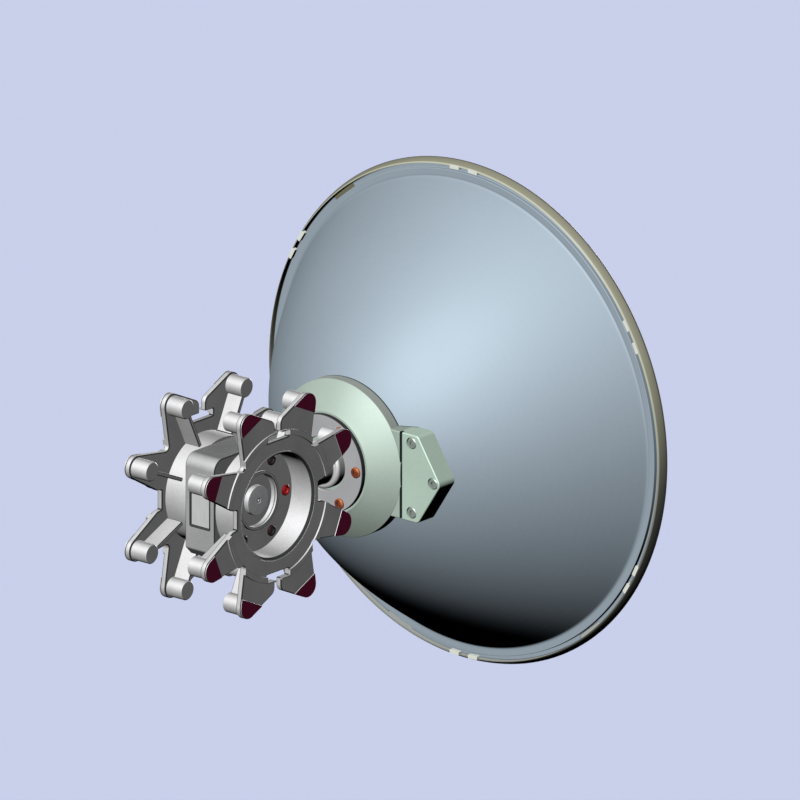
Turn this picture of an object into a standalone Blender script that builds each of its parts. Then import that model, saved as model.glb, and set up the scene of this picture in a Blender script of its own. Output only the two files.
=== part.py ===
"""Microwave dish antenna with a two-port coupler, seen and numbered from behind.

Metres, +Z up. The origin lies on the back face of the mounting lug, level with the dish axis.
The dish looks along +Y. "Depth" is the distance behind the front edge of the radome, so most
pieces are modelled in a frame whose Z runs back along the dish axis, X to the right and Y up.
Each of the two ports has a frame of its own, with Z out of the port and Y up.
"""

from math import acos, atan2, cos, hypot, pi, radians, sin, sqrt, tan, tau

import bmesh
import bpy
from mathutils import Matrix, Vector

# Seats and clearances
SEAT_GAP = 0.0003
FEW_STEPS = 3
CORNER_STEPS = 4
ROUND_STEPS = 36
SHARP_ANGLE = radians(35.0)

# Dish: the bowl is a paraboloid, depth = BOWL_DEPTH - radius² / BOWL_FOUR_FOCAL
LIP_RADIUS = 0.325
BOWL_DEPTH = 0.261
BOWL_RADIUS = 0.302
FLANGE_DEPTH = 0.012
BOWL_FOUR_FOCAL = BOWL_RADIUS**2 / (BOWL_DEPTH - FLANGE_DEPTH)
SHEET = 0.0025
FLANGE_RADIUS = 0.3125
STEP_DEPTH = 0.0065
STEP_RADIUS = 0.3185
RIM_STEPS = 72
BOWL_RINGS = 11
BOWL_INNER_RINGS = 5

# Slots in the flange's lower step
SLOT_COUNT = 6
SLOT_FIRST = radians(9.7)
SLOT_LENGTH = 0.041
SLOT_FLOOR_RADIUS = 0.3130

# Radome: a moulded cover; its rim stands around the flange and proud of its back
RADOME_RIM_INNER = STEP_RADIUS + 0.0005
RADOME_BACK_DEPTH = 0.0135
RIM_FLAT = 0.0010
RIM_ROUNDING_DEPTH = 0.0095
RIM_ROUNDING_STEPS = 5
RADOME_LEDGE_RADIUS = 0.302
RADOME_SWELL = 0.030
RADOME_SHEET = 0.003
RADOME_RINGS = 4
RIM_CHAMFER = 0.0022

# Clip tabs in pairs, which reach inwards from the rim over the flange
TAB_PAIRS = 6
TAB_FIRST = radians(30.0)
TAB_HALF_SPREAD = radians(2.7)
TAB_LENGTH = 0.015
TAB_INNER_RADIUS = 0.3131
TAB_OUTER_RADIUS = 0.3205
TAB_BACK_DEPTH = 0.0137
TAB_HEIGHT = 0.0052

# Hub casting
HUB_RADIUS = 0.102
HUB_EDGE_DEPTH = 0.2493
HUB_SEAT_RADIUS = 0.0655
HUB_SEAT_DEPTH = 0.2718
HUB_EDGE_ROUNDING = 0.002
HUB_CROWN = 0.0015
HUB_SKIRT = 0.010
HUB_STEPS = 56

# Mounting lug on the hub's right side
LUG_FACE_DEPTH = 0.2508
LUG_THICKNESS = 0.029
LUG_HALF_HEIGHT = 0.057
LUG_SHOULDER_X = 0.131
LUG_TIP_X = 0.168
LUG_SHOULDER_ROUNDING = 0.007
LUG_TIP_ROUNDING = 0.009
LUG_ROOT_STEPS = 12
LUG_GROOVE_X = 0.1033
LUG_GROOVE_WIDTH = 0.0046
LUG_GROOVE_DEPTH = 0.004
LUG_BOLT_PLACES = ((0.1205, 0.0455), (0.1555, 0.0), (0.1205, -0.0455))
LUG_BOLT_RADIUS = 0.0072
LUG_RECESS_RADIUS = 0.0080
LUG_RECESS_DEPTH = 0.0050
LUG_RECESS_STEPS = 24
LUG_BOLT_HEIGHT = 0.0045
AXIS_OFFSET = 0.130

# Feed flange and waveguide neck
FEED_FLANGE_RADIUS = 0.0635
FEED_FLANGE_BACK = 0.2784
FEED_FLANGE_BORE = 0.035
FEED_FLANGE_CHAMFER = 0.0012
FEED_BOLT_COUNT = 6
FEED_BOLT_CIRCLE = 0.054
FEED_BOLT_RADIUS = 0.0070
FEED_BOLT_HEIGHT = 0.0030
COLLAR_RADIUS = 0.0310
COLLAR_BACK = 0.2860
COLLAR_CHAMFER = 0.0045
NECK_RADIUS = 0.0238

# Coupler body, around the port axis
PORT_AXIS_DEPTH = 0.4405
BODY_HALF_WIDTH = 0.024
BODY_HALF_LENGTH = 0.072
BODY_TOP = 0.067
BODY_BOTTOM = -0.066
BODY_BACK_ROUNDING = 0.016
BODY_FRONT_ROUNDING = 0.006
BODY_CHAMFER = 0.011
BODY_CHAMFER_ROUNDING = 0.004
COVER_HALF_WIDTH = 0.0160
COVER_TOP = 0.030
COVER_BOTTOM = -0.025
COVER_POCKET_DEPTH = 0.0030
COVER_THICKNESS = 0.0017
COVER_INSET = 0.0003

# Port housings: cups that open to the right and to the left
PORT_FACE = 0.066
HOUSING_RADIUS = 0.0700
PORT_BORE = 0.0662
PORT_MOUTH_CHAMFER = 0.0028
PORT_BORE_DEPTH = 0.035
PORT_FLOOR = PORT_FACE - PORT_BORE_DEPTH
PORT_STEPS = 44
PORT_RING_OUTER = 0.0379
PORT_RING_INNER = 0.0339
PORT_RING_HEIGHT = 0.0043
PORT_POCKET_DEPTH = 0.0052
PORT_DISC_RADIUS = 0.0191
PORT_DISC_HEIGHT = 0.0085
PORT_PIN_RADIUS = 0.0020
PORT_PIN_HEIGHT = 0.0012
PORT_SCREW_COUNT = 6
PORT_SCREW_CIRCLE = 0.0534
PORT_SCREW_RADIUS = 0.0062
PORT_SCREW_HEIGHT = 0.0030

# Socket screws: shares of the head's radius, and of its height for the socket's floor
SCREW_SIDES = 16
SCREW_CHAMFER_SHARE = 0.18
SOCKET_SIDES = 6
SOCKET_RADIUS_SHARE = 0.46
SOCKET_FLOOR_SHARE = 0.35

# Star flanges: eight arms around each housing, each with a boss and a rib on its inner side
STAR_PLATE = 0.008
STAR_ROOT_RADIUS = 0.086
SIDE_ARM_TIP = (0.123, 0.054)
TOP_ARM_TIP = (0.056, 0.1185)
ARM_TIP_RADIUS = 0.0150
ARM_ROOT_HALF_WIDTH = 0.022
NOTCH_ROUNDING = 0.006
SIDE_NOTCH = (0.0765, 0.013)
TIP_STEPS = 6

# Webs that widen the top and bottom arms towards each other, over a wider window
WEB_EDGE_LEAN = radians(25.0)
WEB_GAP_HALF = 0.0057
WEB_CORNER_RADIUS = 0.010
WEB_LOWER_EDGE = 0.0955
WINDOW_HALF_WIDTH = 0.021
WINDOW_FLOOR = 0.086
BOSS_RADIUS = 0.0127
BOSS_LENGTH = 0.024
BOSS_STEPS = 16
RIB_THICKNESS = 0.005
RIB_DEPTH = 0.0235
RIB_START_RADIUS = HOUSING_RADIUS + SEAT_GAP


def clear_scene():
    for item in list(bpy.data.objects):
        bpy.data.objects.remove(item, do_unlink=True)


def paint(name, colour, roughness, metallic):
    material = bpy.data.materials.new(name)
    material.use_nodes = True
    shader = material.node_tree.nodes["Principled BSDF"]
    shader.inputs["Base Color"].default_value = (*colour, 1.0)
    shader.inputs["Roughness"].default_value = roughness
    shader.inputs["Metallic"].default_value = metallic
    material.diffuse_color = (*colour, 1.0)
    return material


def frame(name, location, rotation):
    """An empty that carries the pieces of one axis."""
    empty = bpy.data.objects.new(name, None)
    empty.location = location
    empty.rotation_euler = rotation
    bpy.context.collection.objects.link(empty)
    return empty


def put(name, bm, parent, material=None):
    """Turn a bmesh into a named object in its parent's frame."""
    bmesh.ops.recalc_face_normals(bm, faces=bm.faces[:])
    mesh = bpy.data.meshes.new(name)
    bm.to_mesh(mesh)
    bm.free()
    mesh.shade_smooth()
    mesh.set_sharp_from_angle(angle=SHARP_ANGLE)
    item = bpy.data.objects.new(name, mesh)
    item.parent = parent
    bpy.context.collection.objects.link(item)
    if material:
        mesh.materials.append(material)
    return item


def as_tool(item):
    """Mark a shape as one that only cuts or joins another."""
    item.hide_render = True
    item.display_type = "WIRE"
    return item


def combine(target, tool, operation):
    modifier = target.modifiers.new(tool.name, "BOOLEAN")
    modifier.operation = operation
    modifier.solver = "EXACT"
    modifier.object = as_tool(tool)
    return target


def turned(bm, outline, steps, ring=False):
    """Spin an outline of (radius, height) points about Z; a ring's outline closes on itself."""
    verts = [bm.verts.new((radius, 0.0, height)) for radius, height in outline]
    edges = [bm.edges.new(pair) for pair in zip(verts, verts[1:])]
    if ring:
        edges.append(bm.edges.new((verts[-1], verts[0])))
    bmesh.ops.spin(bm, geom=verts + edges, cent=(0, 0, 0), axis=(0, 0, 1), angle=tau, steps=steps,
                   use_merge=True)
    bmesh.ops.remove_doubles(bm, verts=bm.verts[:], dist=1e-6)
    return bm


def prism(bm, outline, low, high):
    """A straight prism between two heights over a flat outline."""
    base = bm.faces.new([bm.verts.new((x, y, low)) for x, y in outline])
    top = bmesh.ops.extrude_face_region(bm, geom=[base])["geom"]
    moved = [part for part in top if isinstance(part, bmesh.types.BMVert)]
    bmesh.ops.translate(bm, vec=(0.0, 0.0, high - low), verts=moved)
    return bm


def circle(radius, steps, centre=(0.0, 0.0)):
    return [(centre[0] + radius * cos(angle), centre[1] + radius * sin(angle))
            for angle in around(steps)]


def arc(radius, start, end, steps, centre=(0.0, 0.0)):
    angles = [start + (end - start) * step / steps for step in range(steps + 1)]
    return [(centre[0] + radius * cos(angle), centre[1] + radius * sin(angle)) for angle in angles]


def filleted(corners, steps=FEW_STEPS):
    """Round each (x, y, radius) corner of a closed outline with a tangent arc."""
    points = []
    for index, (x, y, radius) in enumerate(corners):
        corner = Vector((x, y))
        before = (Vector(corners[index - 1][:2]) - corner).normalized()
        after = (Vector(corners[(index + 1) % len(corners)][:2]) - corner).normalized()
        if radius == 0.0:
            points.append(tuple(corner))
            continue
        half_angle = acos(before.dot(after)) / 2
        centre = corner + (before + after).normalized() * radius / sin(half_angle)
        start = corner + before * radius / tan(half_angle) - centre
        end = corner + after * radius / tan(half_angle) - centre
        sweep = start.angle_signed(end)
        for step in range(steps + 1):
            turned_by = Matrix.Rotation(-sweep * step / steps, 2)
            points.append(tuple(centre + turned_by @ start))
    return points


def bowl_point(radius, offset=0.0):
    """A point of the bowl's back surface as (radius, depth), moved out along its normal."""
    slope = 2 * radius / BOWL_FOUR_FOCAL
    length = hypot(slope, 1.0)
    depth = BOWL_DEPTH - radius**2 / BOWL_FOUR_FOCAL
    return (radius + offset * slope / length, depth + offset / length)


def bowl_line(rings, offset=0.0):
    return [bowl_point(BOWL_RADIUS * ring / rings, offset) for ring in range(rings + 1)]


def around(count, first=0.0):
    return [first + tau * index / count for index in range(count)]


def block_at(bm, angle, radius_low, radius_high, width, low, high):
    """A straight block that stands across a radius of the Z axis."""
    half = width / 2
    corners = [(radius_low, -half), (radius_high, -half), (radius_high, half), (radius_low, half)]
    spin = Matrix.Rotation(angle, 2)
    prism(bm, [tuple(spin @ Vector(corner)) for corner in corners], low, high)


def reflector(parent, material):
    back = bowl_line(BOWL_RINGS)
    inside = bowl_line(BOWL_INNER_RINGS, -SHEET)
    flange_front = FLANGE_DEPTH - SHEET
    step_front = STEP_DEPTH - SHEET
    flange = [(FLANGE_RADIUS, FLANGE_DEPTH), (FLANGE_RADIUS, STEP_DEPTH), (STEP_RADIUS, STEP_DEPTH),
              (STEP_RADIUS, step_front), (FLANGE_RADIUS - SHEET, step_front),
              (FLANGE_RADIUS - SHEET, flange_front), (inside[-1][0], flange_front)]
    shell = put("reflector_shell", turned(bmesh.new(), back + flange + inside[::-1], RIM_STEPS),
                parent, material)
    slots = bmesh.new()
    for angle in around(SLOT_COUNT, SLOT_FIRST):
        block_at(slots, angle, SLOT_FLOOR_RADIUS, LIP_RADIUS, SLOT_LENGTH, step_front - SHEET,
                 FLANGE_DEPTH)
    return combine(shell, put("flange_slot_cutter", slots, parent), "DIFFERENCE")


def radome(parent, material):
    """Front cover: a shallow dome, a ledge under the flange and a rounded rim around it."""
    ledge_depth = STEP_DEPTH - SHEET - SEAT_GAP
    rounding = arc(1.0, pi / 2, 0.0, RIM_ROUNDING_STEPS)
    rounding_width = LIP_RADIUS - RADOME_RIM_INNER - RIM_FLAT
    edge = [(LIP_RADIUS - rounding_width * (1.0 - across),
             RADOME_BACK_DEPTH - RIM_ROUNDING_DEPTH * (1.0 - along)) for across, along in rounding]
    edge += [(LIP_RADIUS, RIM_CHAMFER), (LIP_RADIUS - RIM_CHAMFER, 0.0)]
    dome_radius = LIP_RADIUS - RIM_CHAMFER
    outside = []
    inside = []
    for ring in range(RADOME_RINGS):
        share = ring / RADOME_RINGS
        swell = -RADOME_SWELL * (1.0 - share**2)
        outside.append((dome_radius * share, swell))
        inside.append((RADOME_LEDGE_RADIUS * share, swell + RADOME_SHEET))
    inside.append((RADOME_LEDGE_RADIUS, RADOME_SHEET))
    ledge = [(RADOME_LEDGE_RADIUS, ledge_depth), (RADOME_RIM_INNER, ledge_depth),
             (RADOME_RIM_INNER, RADOME_BACK_DEPTH)]
    outline = inside + ledge + edge + outside[::-1]
    cover = put("radome", turned(bmesh.new(), outline, RIM_STEPS), parent, material)
    tabs = bmesh.new()
    for pair in around(TAB_PAIRS, TAB_FIRST):
        for side in (-1, 1):
            block_at(tabs, pair + side * TAB_HALF_SPREAD, TAB_INNER_RADIUS, TAB_OUTER_RADIUS,
                     TAB_LENGTH, TAB_BACK_DEPTH - TAB_HEIGHT, TAB_BACK_DEPTH)
    return combine(cover, put("clip_tab_shapes", tabs, parent), "UNION")


def bowl_cutter(name, parent):
    """The space that the bowl fills, with the seat gap, for pieces that sit on its back."""
    surface = bowl_line(BOWL_RINGS, SEAT_GAP)
    return put(name, turned(bmesh.new(), surface + [(0.0, surface[-1][1])], RIM_STEPS), parent)


def hub(parent, material):
    edge = arc(HUB_EDGE_ROUNDING, 0.0, pi / 3, 2,
               (HUB_RADIUS - HUB_EDGE_ROUNDING, HUB_EDGE_DEPTH - HUB_EDGE_ROUNDING))
    front_depth = bowl_point(HUB_RADIUS)[1] - HUB_SKIRT
    middle = ((HUB_RADIUS + HUB_SEAT_RADIUS) / 2,
              (HUB_EDGE_DEPTH + HUB_SEAT_DEPTH) / 2 + HUB_CROWN)
    outline = [(0.0, front_depth), (HUB_RADIUS, front_depth), *edge, middle,
               (HUB_SEAT_RADIUS, HUB_SEAT_DEPTH), (0.0, HUB_SEAT_DEPTH)]
    casting = put("hub_casting", turned(bmesh.new(), outline, HUB_STEPS), parent, material)
    return combine(casting, bowl_cutter("hub_bowl_cutter", parent), "DIFFERENCE")


def lug_outline():
    """House-shaped plate; its root follows the hub's round side."""
    root_radius = HUB_RADIUS + SEAT_GAP
    root_angle = atan2(LUG_HALF_HEIGHT, sqrt(root_radius**2 - LUG_HALF_HEIGHT**2))
    root = arc(root_radius, root_angle, -root_angle, LUG_ROOT_STEPS)
    nose = filleted([(root[-1][0], -LUG_HALF_HEIGHT, 0.0),
                     (LUG_SHOULDER_X, -LUG_HALF_HEIGHT, LUG_SHOULDER_ROUNDING),
                     (LUG_TIP_X, 0.0, LUG_TIP_ROUNDING),
                     (LUG_SHOULDER_X, LUG_HALF_HEIGHT, LUG_SHOULDER_ROUNDING),
                     (root[0][0], LUG_HALF_HEIGHT, 0.0)], CORNER_STEPS)
    return root[:-1] + nose[:-1]


def mounting_lug(parent, material, bolt_material):
    lug = put("mounting_lug", prism(bmesh.new(), lug_outline(), LUG_FACE_DEPTH - LUG_THICKNESS,
                                    LUG_FACE_DEPTH), parent, material)
    combine(lug, bowl_cutter("lug_bowl_cutter", parent), "DIFFERENCE")
    groove = bmesh.new()
    half = LUG_GROOVE_WIDTH / 2
    reach = LUG_HALF_HEIGHT + LUG_GROOVE_DEPTH
    prism(groove, [(LUG_GROOVE_X - half, -reach), (LUG_GROOVE_X + half, -reach),
                   (LUG_GROOVE_X + half, reach), (LUG_GROOVE_X - half, reach)],
          LUG_FACE_DEPTH - LUG_GROOVE_DEPTH, LUG_FACE_DEPTH + LUG_GROOVE_DEPTH)
    combine(lug, put("lug_groove_cutter", groove, parent), "DIFFERENCE")
    recesses = bmesh.new()
    floor = LUG_FACE_DEPTH - LUG_RECESS_DEPTH
    for number, place in enumerate(LUG_BOLT_PLACES, start=1):
        prism(recesses, circle(LUG_RECESS_RADIUS, LUG_RECESS_STEPS, place), floor,
              LUG_FACE_DEPTH + SHEET)
        bolt = socket_screw(f"lug_bolt_{number}", parent, bolt_material, LUG_BOLT_RADIUS,
                            LUG_BOLT_HEIGHT)
        bolt.location = (*place, floor + SEAT_GAP)
    return combine(lug, put("lug_recess_cutter", recesses, parent), "DIFFERENCE")


def socket_screw(name, parent, material, radius, height):
    """A round head with a six-sided socket, standing on its local origin."""
    chamfer = radius * SCREW_CHAMFER_SHARE
    socket = radius * SOCKET_RADIUS_SHARE
    rings = [(radius, SCREW_SIDES, 0.0), (radius, SCREW_SIDES, height - chamfer),
             (radius - chamfer, SCREW_SIDES, height), (socket, SOCKET_SIDES, height),
             (socket, SOCKET_SIDES, height * SOCKET_FLOOR_SHARE)]
    bm = bmesh.new()
    loops = []
    for ring_radius, sides, level in rings:
        loops.append([bm.verts.new((x, y, level)) for x, y in circle(ring_radius, sides)])
    bm.faces.new(loops[0][::-1])
    bm.faces.new(loops[-1])
    for lower, upper in zip(loops, loops[1:]):
        lower_edges = [bm.edges.get(pair) or bm.edges.new(pair) for pair in ring_pairs(lower)]
        upper_edges = [bm.edges.get(pair) or bm.edges.new(pair) for pair in ring_pairs(upper)]
        bmesh.ops.bridge_loops(bm, edges=lower_edges + upper_edges)
    return put(name, bm, parent, material)


def ring_pairs(loop):
    return list(zip(loop, loop[1:] + loop[:1]))


def feed_flange(parent, material, bolt_material):
    seat = HUB_SEAT_DEPTH + SEAT_GAP
    outline = [(FEED_FLANGE_BORE, seat), (FEED_FLANGE_RADIUS, seat),
               (FEED_FLANGE_RADIUS, FEED_FLANGE_BACK - FEED_FLANGE_CHAMFER),
               (FEED_FLANGE_RADIUS - FEED_FLANGE_CHAMFER, FEED_FLANGE_BACK),
               (FEED_FLANGE_BORE, FEED_FLANGE_BACK)]
    put("feed_flange", turned(bmesh.new(), outline, PORT_STEPS, ring=True), parent, material)
    for number, angle in enumerate(around(FEED_BOLT_COUNT), start=1):
        bolt = socket_screw(f"feed_flange_bolt_{number}", parent, bolt_material, FEED_BOLT_RADIUS,
                            FEED_BOLT_HEIGHT)
        bolt.location = (FEED_BOLT_CIRCLE * cos(angle), FEED_BOLT_CIRCLE * sin(angle),
                         FEED_FLANGE_BACK + SEAT_GAP)


def waveguide_neck(parent, material):
    body_front = PORT_AXIS_DEPTH - BODY_HALF_LENGTH - SEAT_GAP
    outline = [(0.0, HUB_SEAT_DEPTH + SEAT_GAP), (COLLAR_RADIUS, HUB_SEAT_DEPTH + SEAT_GAP),
               (COLLAR_RADIUS, COLLAR_BACK - COLLAR_CHAMFER),
               (COLLAR_RADIUS - COLLAR_CHAMFER, COLLAR_BACK), (NECK_RADIUS, COLLAR_BACK),
               (NECK_RADIUS, body_front), (0.0, body_front)]
    return put("waveguide_neck", turned(bmesh.new(), outline, ROUND_STEPS), parent, material)


def coupler_body(parent, material, cover_material):
    """Cast box between the ports, modelled in the right port's frame: X forward, Y up."""
    outline = filleted([(-BODY_HALF_LENGTH, BODY_TOP, BODY_BACK_ROUNDING),
                        (BODY_HALF_LENGTH, BODY_TOP, BODY_FRONT_ROUNDING),
                        (BODY_HALF_LENGTH, BODY_BOTTOM, BODY_FRONT_ROUNDING),
                        (-BODY_HALF_LENGTH + BODY_CHAMFER, BODY_BOTTOM, BODY_CHAMFER_ROUNDING),
                        (-BODY_HALF_LENGTH, BODY_BOTTOM + BODY_CHAMFER, BODY_CHAMFER_ROUNDING)],
                       CORNER_STEPS)
    body = put("coupler_body", prism(bmesh.new(), outline, -BODY_HALF_WIDTH, BODY_HALF_WIDTH),
               parent, material)
    pocket = bmesh.new()
    floor = -BODY_HALF_LENGTH + COVER_POCKET_DEPTH
    mouth = -BODY_HALF_LENGTH - COVER_POCKET_DEPTH
    prism(pocket, [(floor, COVER_BOTTOM), (floor, COVER_TOP), (mouth, COVER_TOP),
                   (mouth, COVER_BOTTOM)], -COVER_HALF_WIDTH, COVER_HALF_WIDTH)
    combine(body, put("cover_pocket_cutter", pocket, parent), "DIFFERENCE")
    plate = bmesh.new()
    seat = floor - SEAT_GAP
    back = seat - COVER_THICKNESS
    low = COVER_BOTTOM + COVER_INSET
    high = COVER_TOP - COVER_INSET
    half_width = COVER_HALF_WIDTH - COVER_INSET
    prism(plate, [(seat, low), (seat, high), (back, high), (back, low)], -half_width, half_width)
    put("coupler_cover", plate, parent, cover_material)
    return body


def star_arms():
    """The eight arms' tip centres, anticlockwise from the first side arm."""
    (side_x, side_y), (top_x, top_y) = SIDE_ARM_TIP, TOP_ARM_TIP
    upper = [(side_x, side_y), (top_x, top_y), (-top_x, top_y), (-side_x, side_y)]
    return upper + [(-x, -y) for x, y in upper]


def at_angle(radius, angle):
    return (radius * cos(angle), radius * sin(angle))


def tangent_angle(tip, root, side):
    """Where a straight edge from a root point touches an arm's rounded tip, as an angle."""
    back = Vector(root) - Vector(tip)
    return atan2(back.y, back.x) + side * acos(ARM_TIP_RADIUS / back.length)


def web_outline(tangent):
    """The web's edge from the arm's tip to the gap, then the window under it."""
    corner_y = tangent[1] - (tangent[0] - WEB_GAP_HALF) * tan(WEB_EDGE_LEAN)
    return filleted([(*tangent, 0.0), (WEB_GAP_HALF, corner_y, WEB_CORNER_RADIUS),
                     (WEB_GAP_HALF, WEB_LOWER_EDGE, 0.0),
                     (WINDOW_HALF_WIDTH, WEB_LOWER_EDGE, 0.0),
                     (WINDOW_HALF_WIDTH, WINDOW_FLOOR, 0.0)])[1:]


def star_outline():
    """A quarter of the star from the side notch to the top window, mirrored twice."""
    side_heading = atan2(SIDE_ARM_TIP[1], SIDE_ARM_TIP[0])
    top_heading = atan2(TOP_ARM_TIP[1], TOP_ARM_TIP[0])
    root = at_angle(STAR_ROOT_RADIUS, side_heading - atan2(ARM_ROOT_HALF_WIDTH, STAR_ROOT_RADIUS))
    notch = at_angle(STAR_ROOT_RADIUS, (side_heading + top_heading) / 2)
    side_tip = arc(ARM_TIP_RADIUS, tangent_angle(SIDE_ARM_TIP, root, 1),
                   tangent_angle(SIDE_ARM_TIP, notch, -1), TIP_STEPS, SIDE_ARM_TIP)
    top_tip = arc(ARM_TIP_RADIUS, tangent_angle(TOP_ARM_TIP, notch, 1), pi / 2 + WEB_EDGE_LEAN,
                  TIP_STEPS, TOP_ARM_TIP)
    rounded_notch = filleted([(*side_tip[-1], 0.0), (*notch, NOTCH_ROUNDING), (*top_tip[0], 0.0)])
    quarter = [SIDE_NOTCH, root, *side_tip, *rounded_notch[1:-1], *top_tip,
               *web_outline(top_tip[-1])]
    upper = quarter + [(-x, y) for x, y in reversed(quarter)]
    return upper + [(-x, -y) for x, y in upper]


def star_flange(side, parent, material):
    inner_face = PORT_FACE - STAR_PLATE
    star = put(f"{side}_star_flange", prism(bmesh.new(), star_outline(), inner_face, PORT_FACE),
               parent, material)
    bosses = bmesh.new()
    ribs = bmesh.new()
    for tip in star_arms():
        prism(bosses, circle(BOSS_RADIUS, BOSS_STEPS, tip), inner_face - BOSS_LENGTH,
              inner_face + STAR_PLATE / 2)
        block_at(ribs, atan2(tip[1], tip[0]), RIB_START_RADIUS, hypot(*tip), RIB_THICKNESS,
                 inner_face - RIB_DEPTH, inner_face + STAR_PLATE / 3)
    combine(star, put(f"{side}_star_bosses", bosses, parent), "UNION")
    combine(star, put(f"{side}_star_ribs", ribs, parent), "UNION")
    opening = bmesh.new()
    prism(opening, circle(HOUSING_RADIUS + SEAT_GAP, PORT_STEPS), inner_face - STAR_PLATE,
          PORT_FACE + STAR_PLATE)
    return combine(star, put(f"{side}_star_opening", opening, parent), "DIFFERENCE")


def port(side, parent, materials):
    """One radio port: cup, star flange, ring, disc and screws."""
    inner_end = BODY_HALF_WIDTH + SEAT_GAP
    cup = [(0.0, inner_end), (HOUSING_RADIUS, inner_end), (HOUSING_RADIUS, PORT_FACE),
           (PORT_BORE + PORT_MOUTH_CHAMFER, PORT_FACE), (PORT_BORE, PORT_FACE - PORT_MOUTH_CHAMFER),
           (PORT_BORE, PORT_FLOOR), (PORT_RING_INNER, PORT_FLOOR),
           (PORT_RING_INNER, PORT_FLOOR - PORT_POCKET_DEPTH), (0.0, PORT_FLOOR - PORT_POCKET_DEPTH)]
    put(f"{side}_port_housing", turned(bmesh.new(), cup, PORT_STEPS), parent, materials["casting"])
    star_flange(side, parent, materials["casting"])
    seat = PORT_FLOOR + SEAT_GAP
    ring = [(PORT_RING_INNER, seat), (PORT_RING_OUTER, seat),
            (PORT_RING_OUTER, seat + PORT_RING_HEIGHT), (PORT_RING_INNER, seat + PORT_RING_HEIGHT)]
    put(f"{side}_port_ring", turned(bmesh.new(), ring, ROUND_STEPS, ring=True), parent,
        materials["casting"])
    disc_seat = seat - PORT_POCKET_DEPTH
    disc_top = disc_seat + PORT_DISC_HEIGHT
    disc = [(0.0, disc_seat), (PORT_DISC_RADIUS, disc_seat), (PORT_DISC_RADIUS, disc_top),
            (PORT_PIN_RADIUS, disc_top), (PORT_PIN_RADIUS, disc_top + PORT_PIN_HEIGHT),
            (0.0, disc_top + PORT_PIN_HEIGHT)]
    put(f"{side}_port_disc", turned(bmesh.new(), disc, ROUND_STEPS), parent,
        materials["casting"])
    for number, angle in enumerate(around(PORT_SCREW_COUNT), start=1):
        screw = socket_screw(f"{side}_port_screw_{number}", parent, materials["screw"],
                             PORT_SCREW_RADIUS, PORT_SCREW_HEIGHT)
        screw.location = (PORT_SCREW_CIRCLE * cos(angle), PORT_SCREW_CIRCLE * sin(angle), seat)


def main():
    clear_scene()
    materials = {
        "reflector": paint("reflector_paint", (0.42, 0.51, 0.55), 0.38, 0.25),
        "radome": paint("radome_plastic", (0.68, 0.69, 0.55), 0.45, 0.0),
        "hub": paint("hub_enamel", (0.58, 0.76, 0.63), 0.4, 0.0),
        "flange": paint("feed_flange_metal", (0.52, 0.48, 0.50), 0.4, 0.6),
        "bolt": paint("orange_bolt", (0.42, 0.14, 0.05), 0.4, 0.5),
        "casting": paint("coupler_casting", (0.55, 0.56, 0.57), 0.42, 0.5),
        "cover": paint("coupler_cover_sheet", (0.60, 0.62, 0.62), 0.35, 0.5),
        "screw": paint("port_screw_steel", (0.18, 0.03, 0.04), 0.4, 0.6),
        "steel": paint("lug_bolt_steel", (0.32, 0.36, 0.33), 0.4, 0.8),
    }
    dish_axis = frame("dish_axis", (-AXIS_OFFSET, LUG_FACE_DEPTH, 0.0), (pi / 2, 0.0, 0.0))
    port_centre = (-AXIS_OFFSET, LUG_FACE_DEPTH - PORT_AXIS_DEPTH, 0.0)
    right_port = frame("right_port_axis", port_centre, (pi / 2, 0.0, pi / 2))
    left_port = frame("left_port_axis", port_centre, (pi / 2, 0.0, -pi / 2))
    reflector(dish_axis, materials["reflector"])
    radome(dish_axis, materials["radome"])
    hub(dish_axis, materials["hub"])
    mounting_lug(dish_axis, materials["hub"], materials["steel"])
    feed_flange(dish_axis, materials["flange"], materials["bolt"])
    waveguide_neck(dish_axis, materials["casting"])
    coupler_body(right_port, materials["casting"], materials["cover"])
    port("right", right_port, materials)
    port("left", left_port, materials)


main()
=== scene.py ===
"""Microwave dish antenna with a two-port coupler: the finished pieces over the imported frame.

Metres, +Z up, in the frame's own axes. "Depth" is the distance behind the front edge of the dish's
cover, and the pieces of the dish are drawn in a space whose Z is that depth, X right and Y up. The
pieces of a port are drawn in a space whose Z points out of the port, with Y up.
"""
from math import acos, atan2, cos, hypot, pi, radians, sin, sqrt, tan, tau

import bmesh
import bpy
from mathutils import Matrix, Vector


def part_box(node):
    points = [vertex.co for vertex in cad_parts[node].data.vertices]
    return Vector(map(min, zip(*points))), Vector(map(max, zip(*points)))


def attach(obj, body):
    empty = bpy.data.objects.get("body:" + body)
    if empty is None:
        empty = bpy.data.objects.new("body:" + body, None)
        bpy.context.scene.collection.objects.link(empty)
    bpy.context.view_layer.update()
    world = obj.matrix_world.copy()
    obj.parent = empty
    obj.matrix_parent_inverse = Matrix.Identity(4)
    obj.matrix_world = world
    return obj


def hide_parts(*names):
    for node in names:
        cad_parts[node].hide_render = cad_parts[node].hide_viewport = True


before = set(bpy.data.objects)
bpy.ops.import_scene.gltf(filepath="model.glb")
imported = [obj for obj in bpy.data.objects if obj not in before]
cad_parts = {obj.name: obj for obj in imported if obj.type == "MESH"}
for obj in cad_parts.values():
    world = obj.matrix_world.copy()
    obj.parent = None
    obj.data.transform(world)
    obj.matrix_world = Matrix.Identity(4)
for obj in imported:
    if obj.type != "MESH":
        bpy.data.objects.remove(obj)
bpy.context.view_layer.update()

bl_info = {
    "name": "Microwave Dish Antenna",
    "version": (1, 0, 0),
    "blender": (4, 5, 0),
    "location": "3D View > Sidebar > Antenna",
    "description": "Builds the finished pieces of a dish antenna with a two-port coupler",
    "category": "Object",
}


def corners(node):
    low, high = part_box(node)
    return Vector(low), Vector(high)


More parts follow.
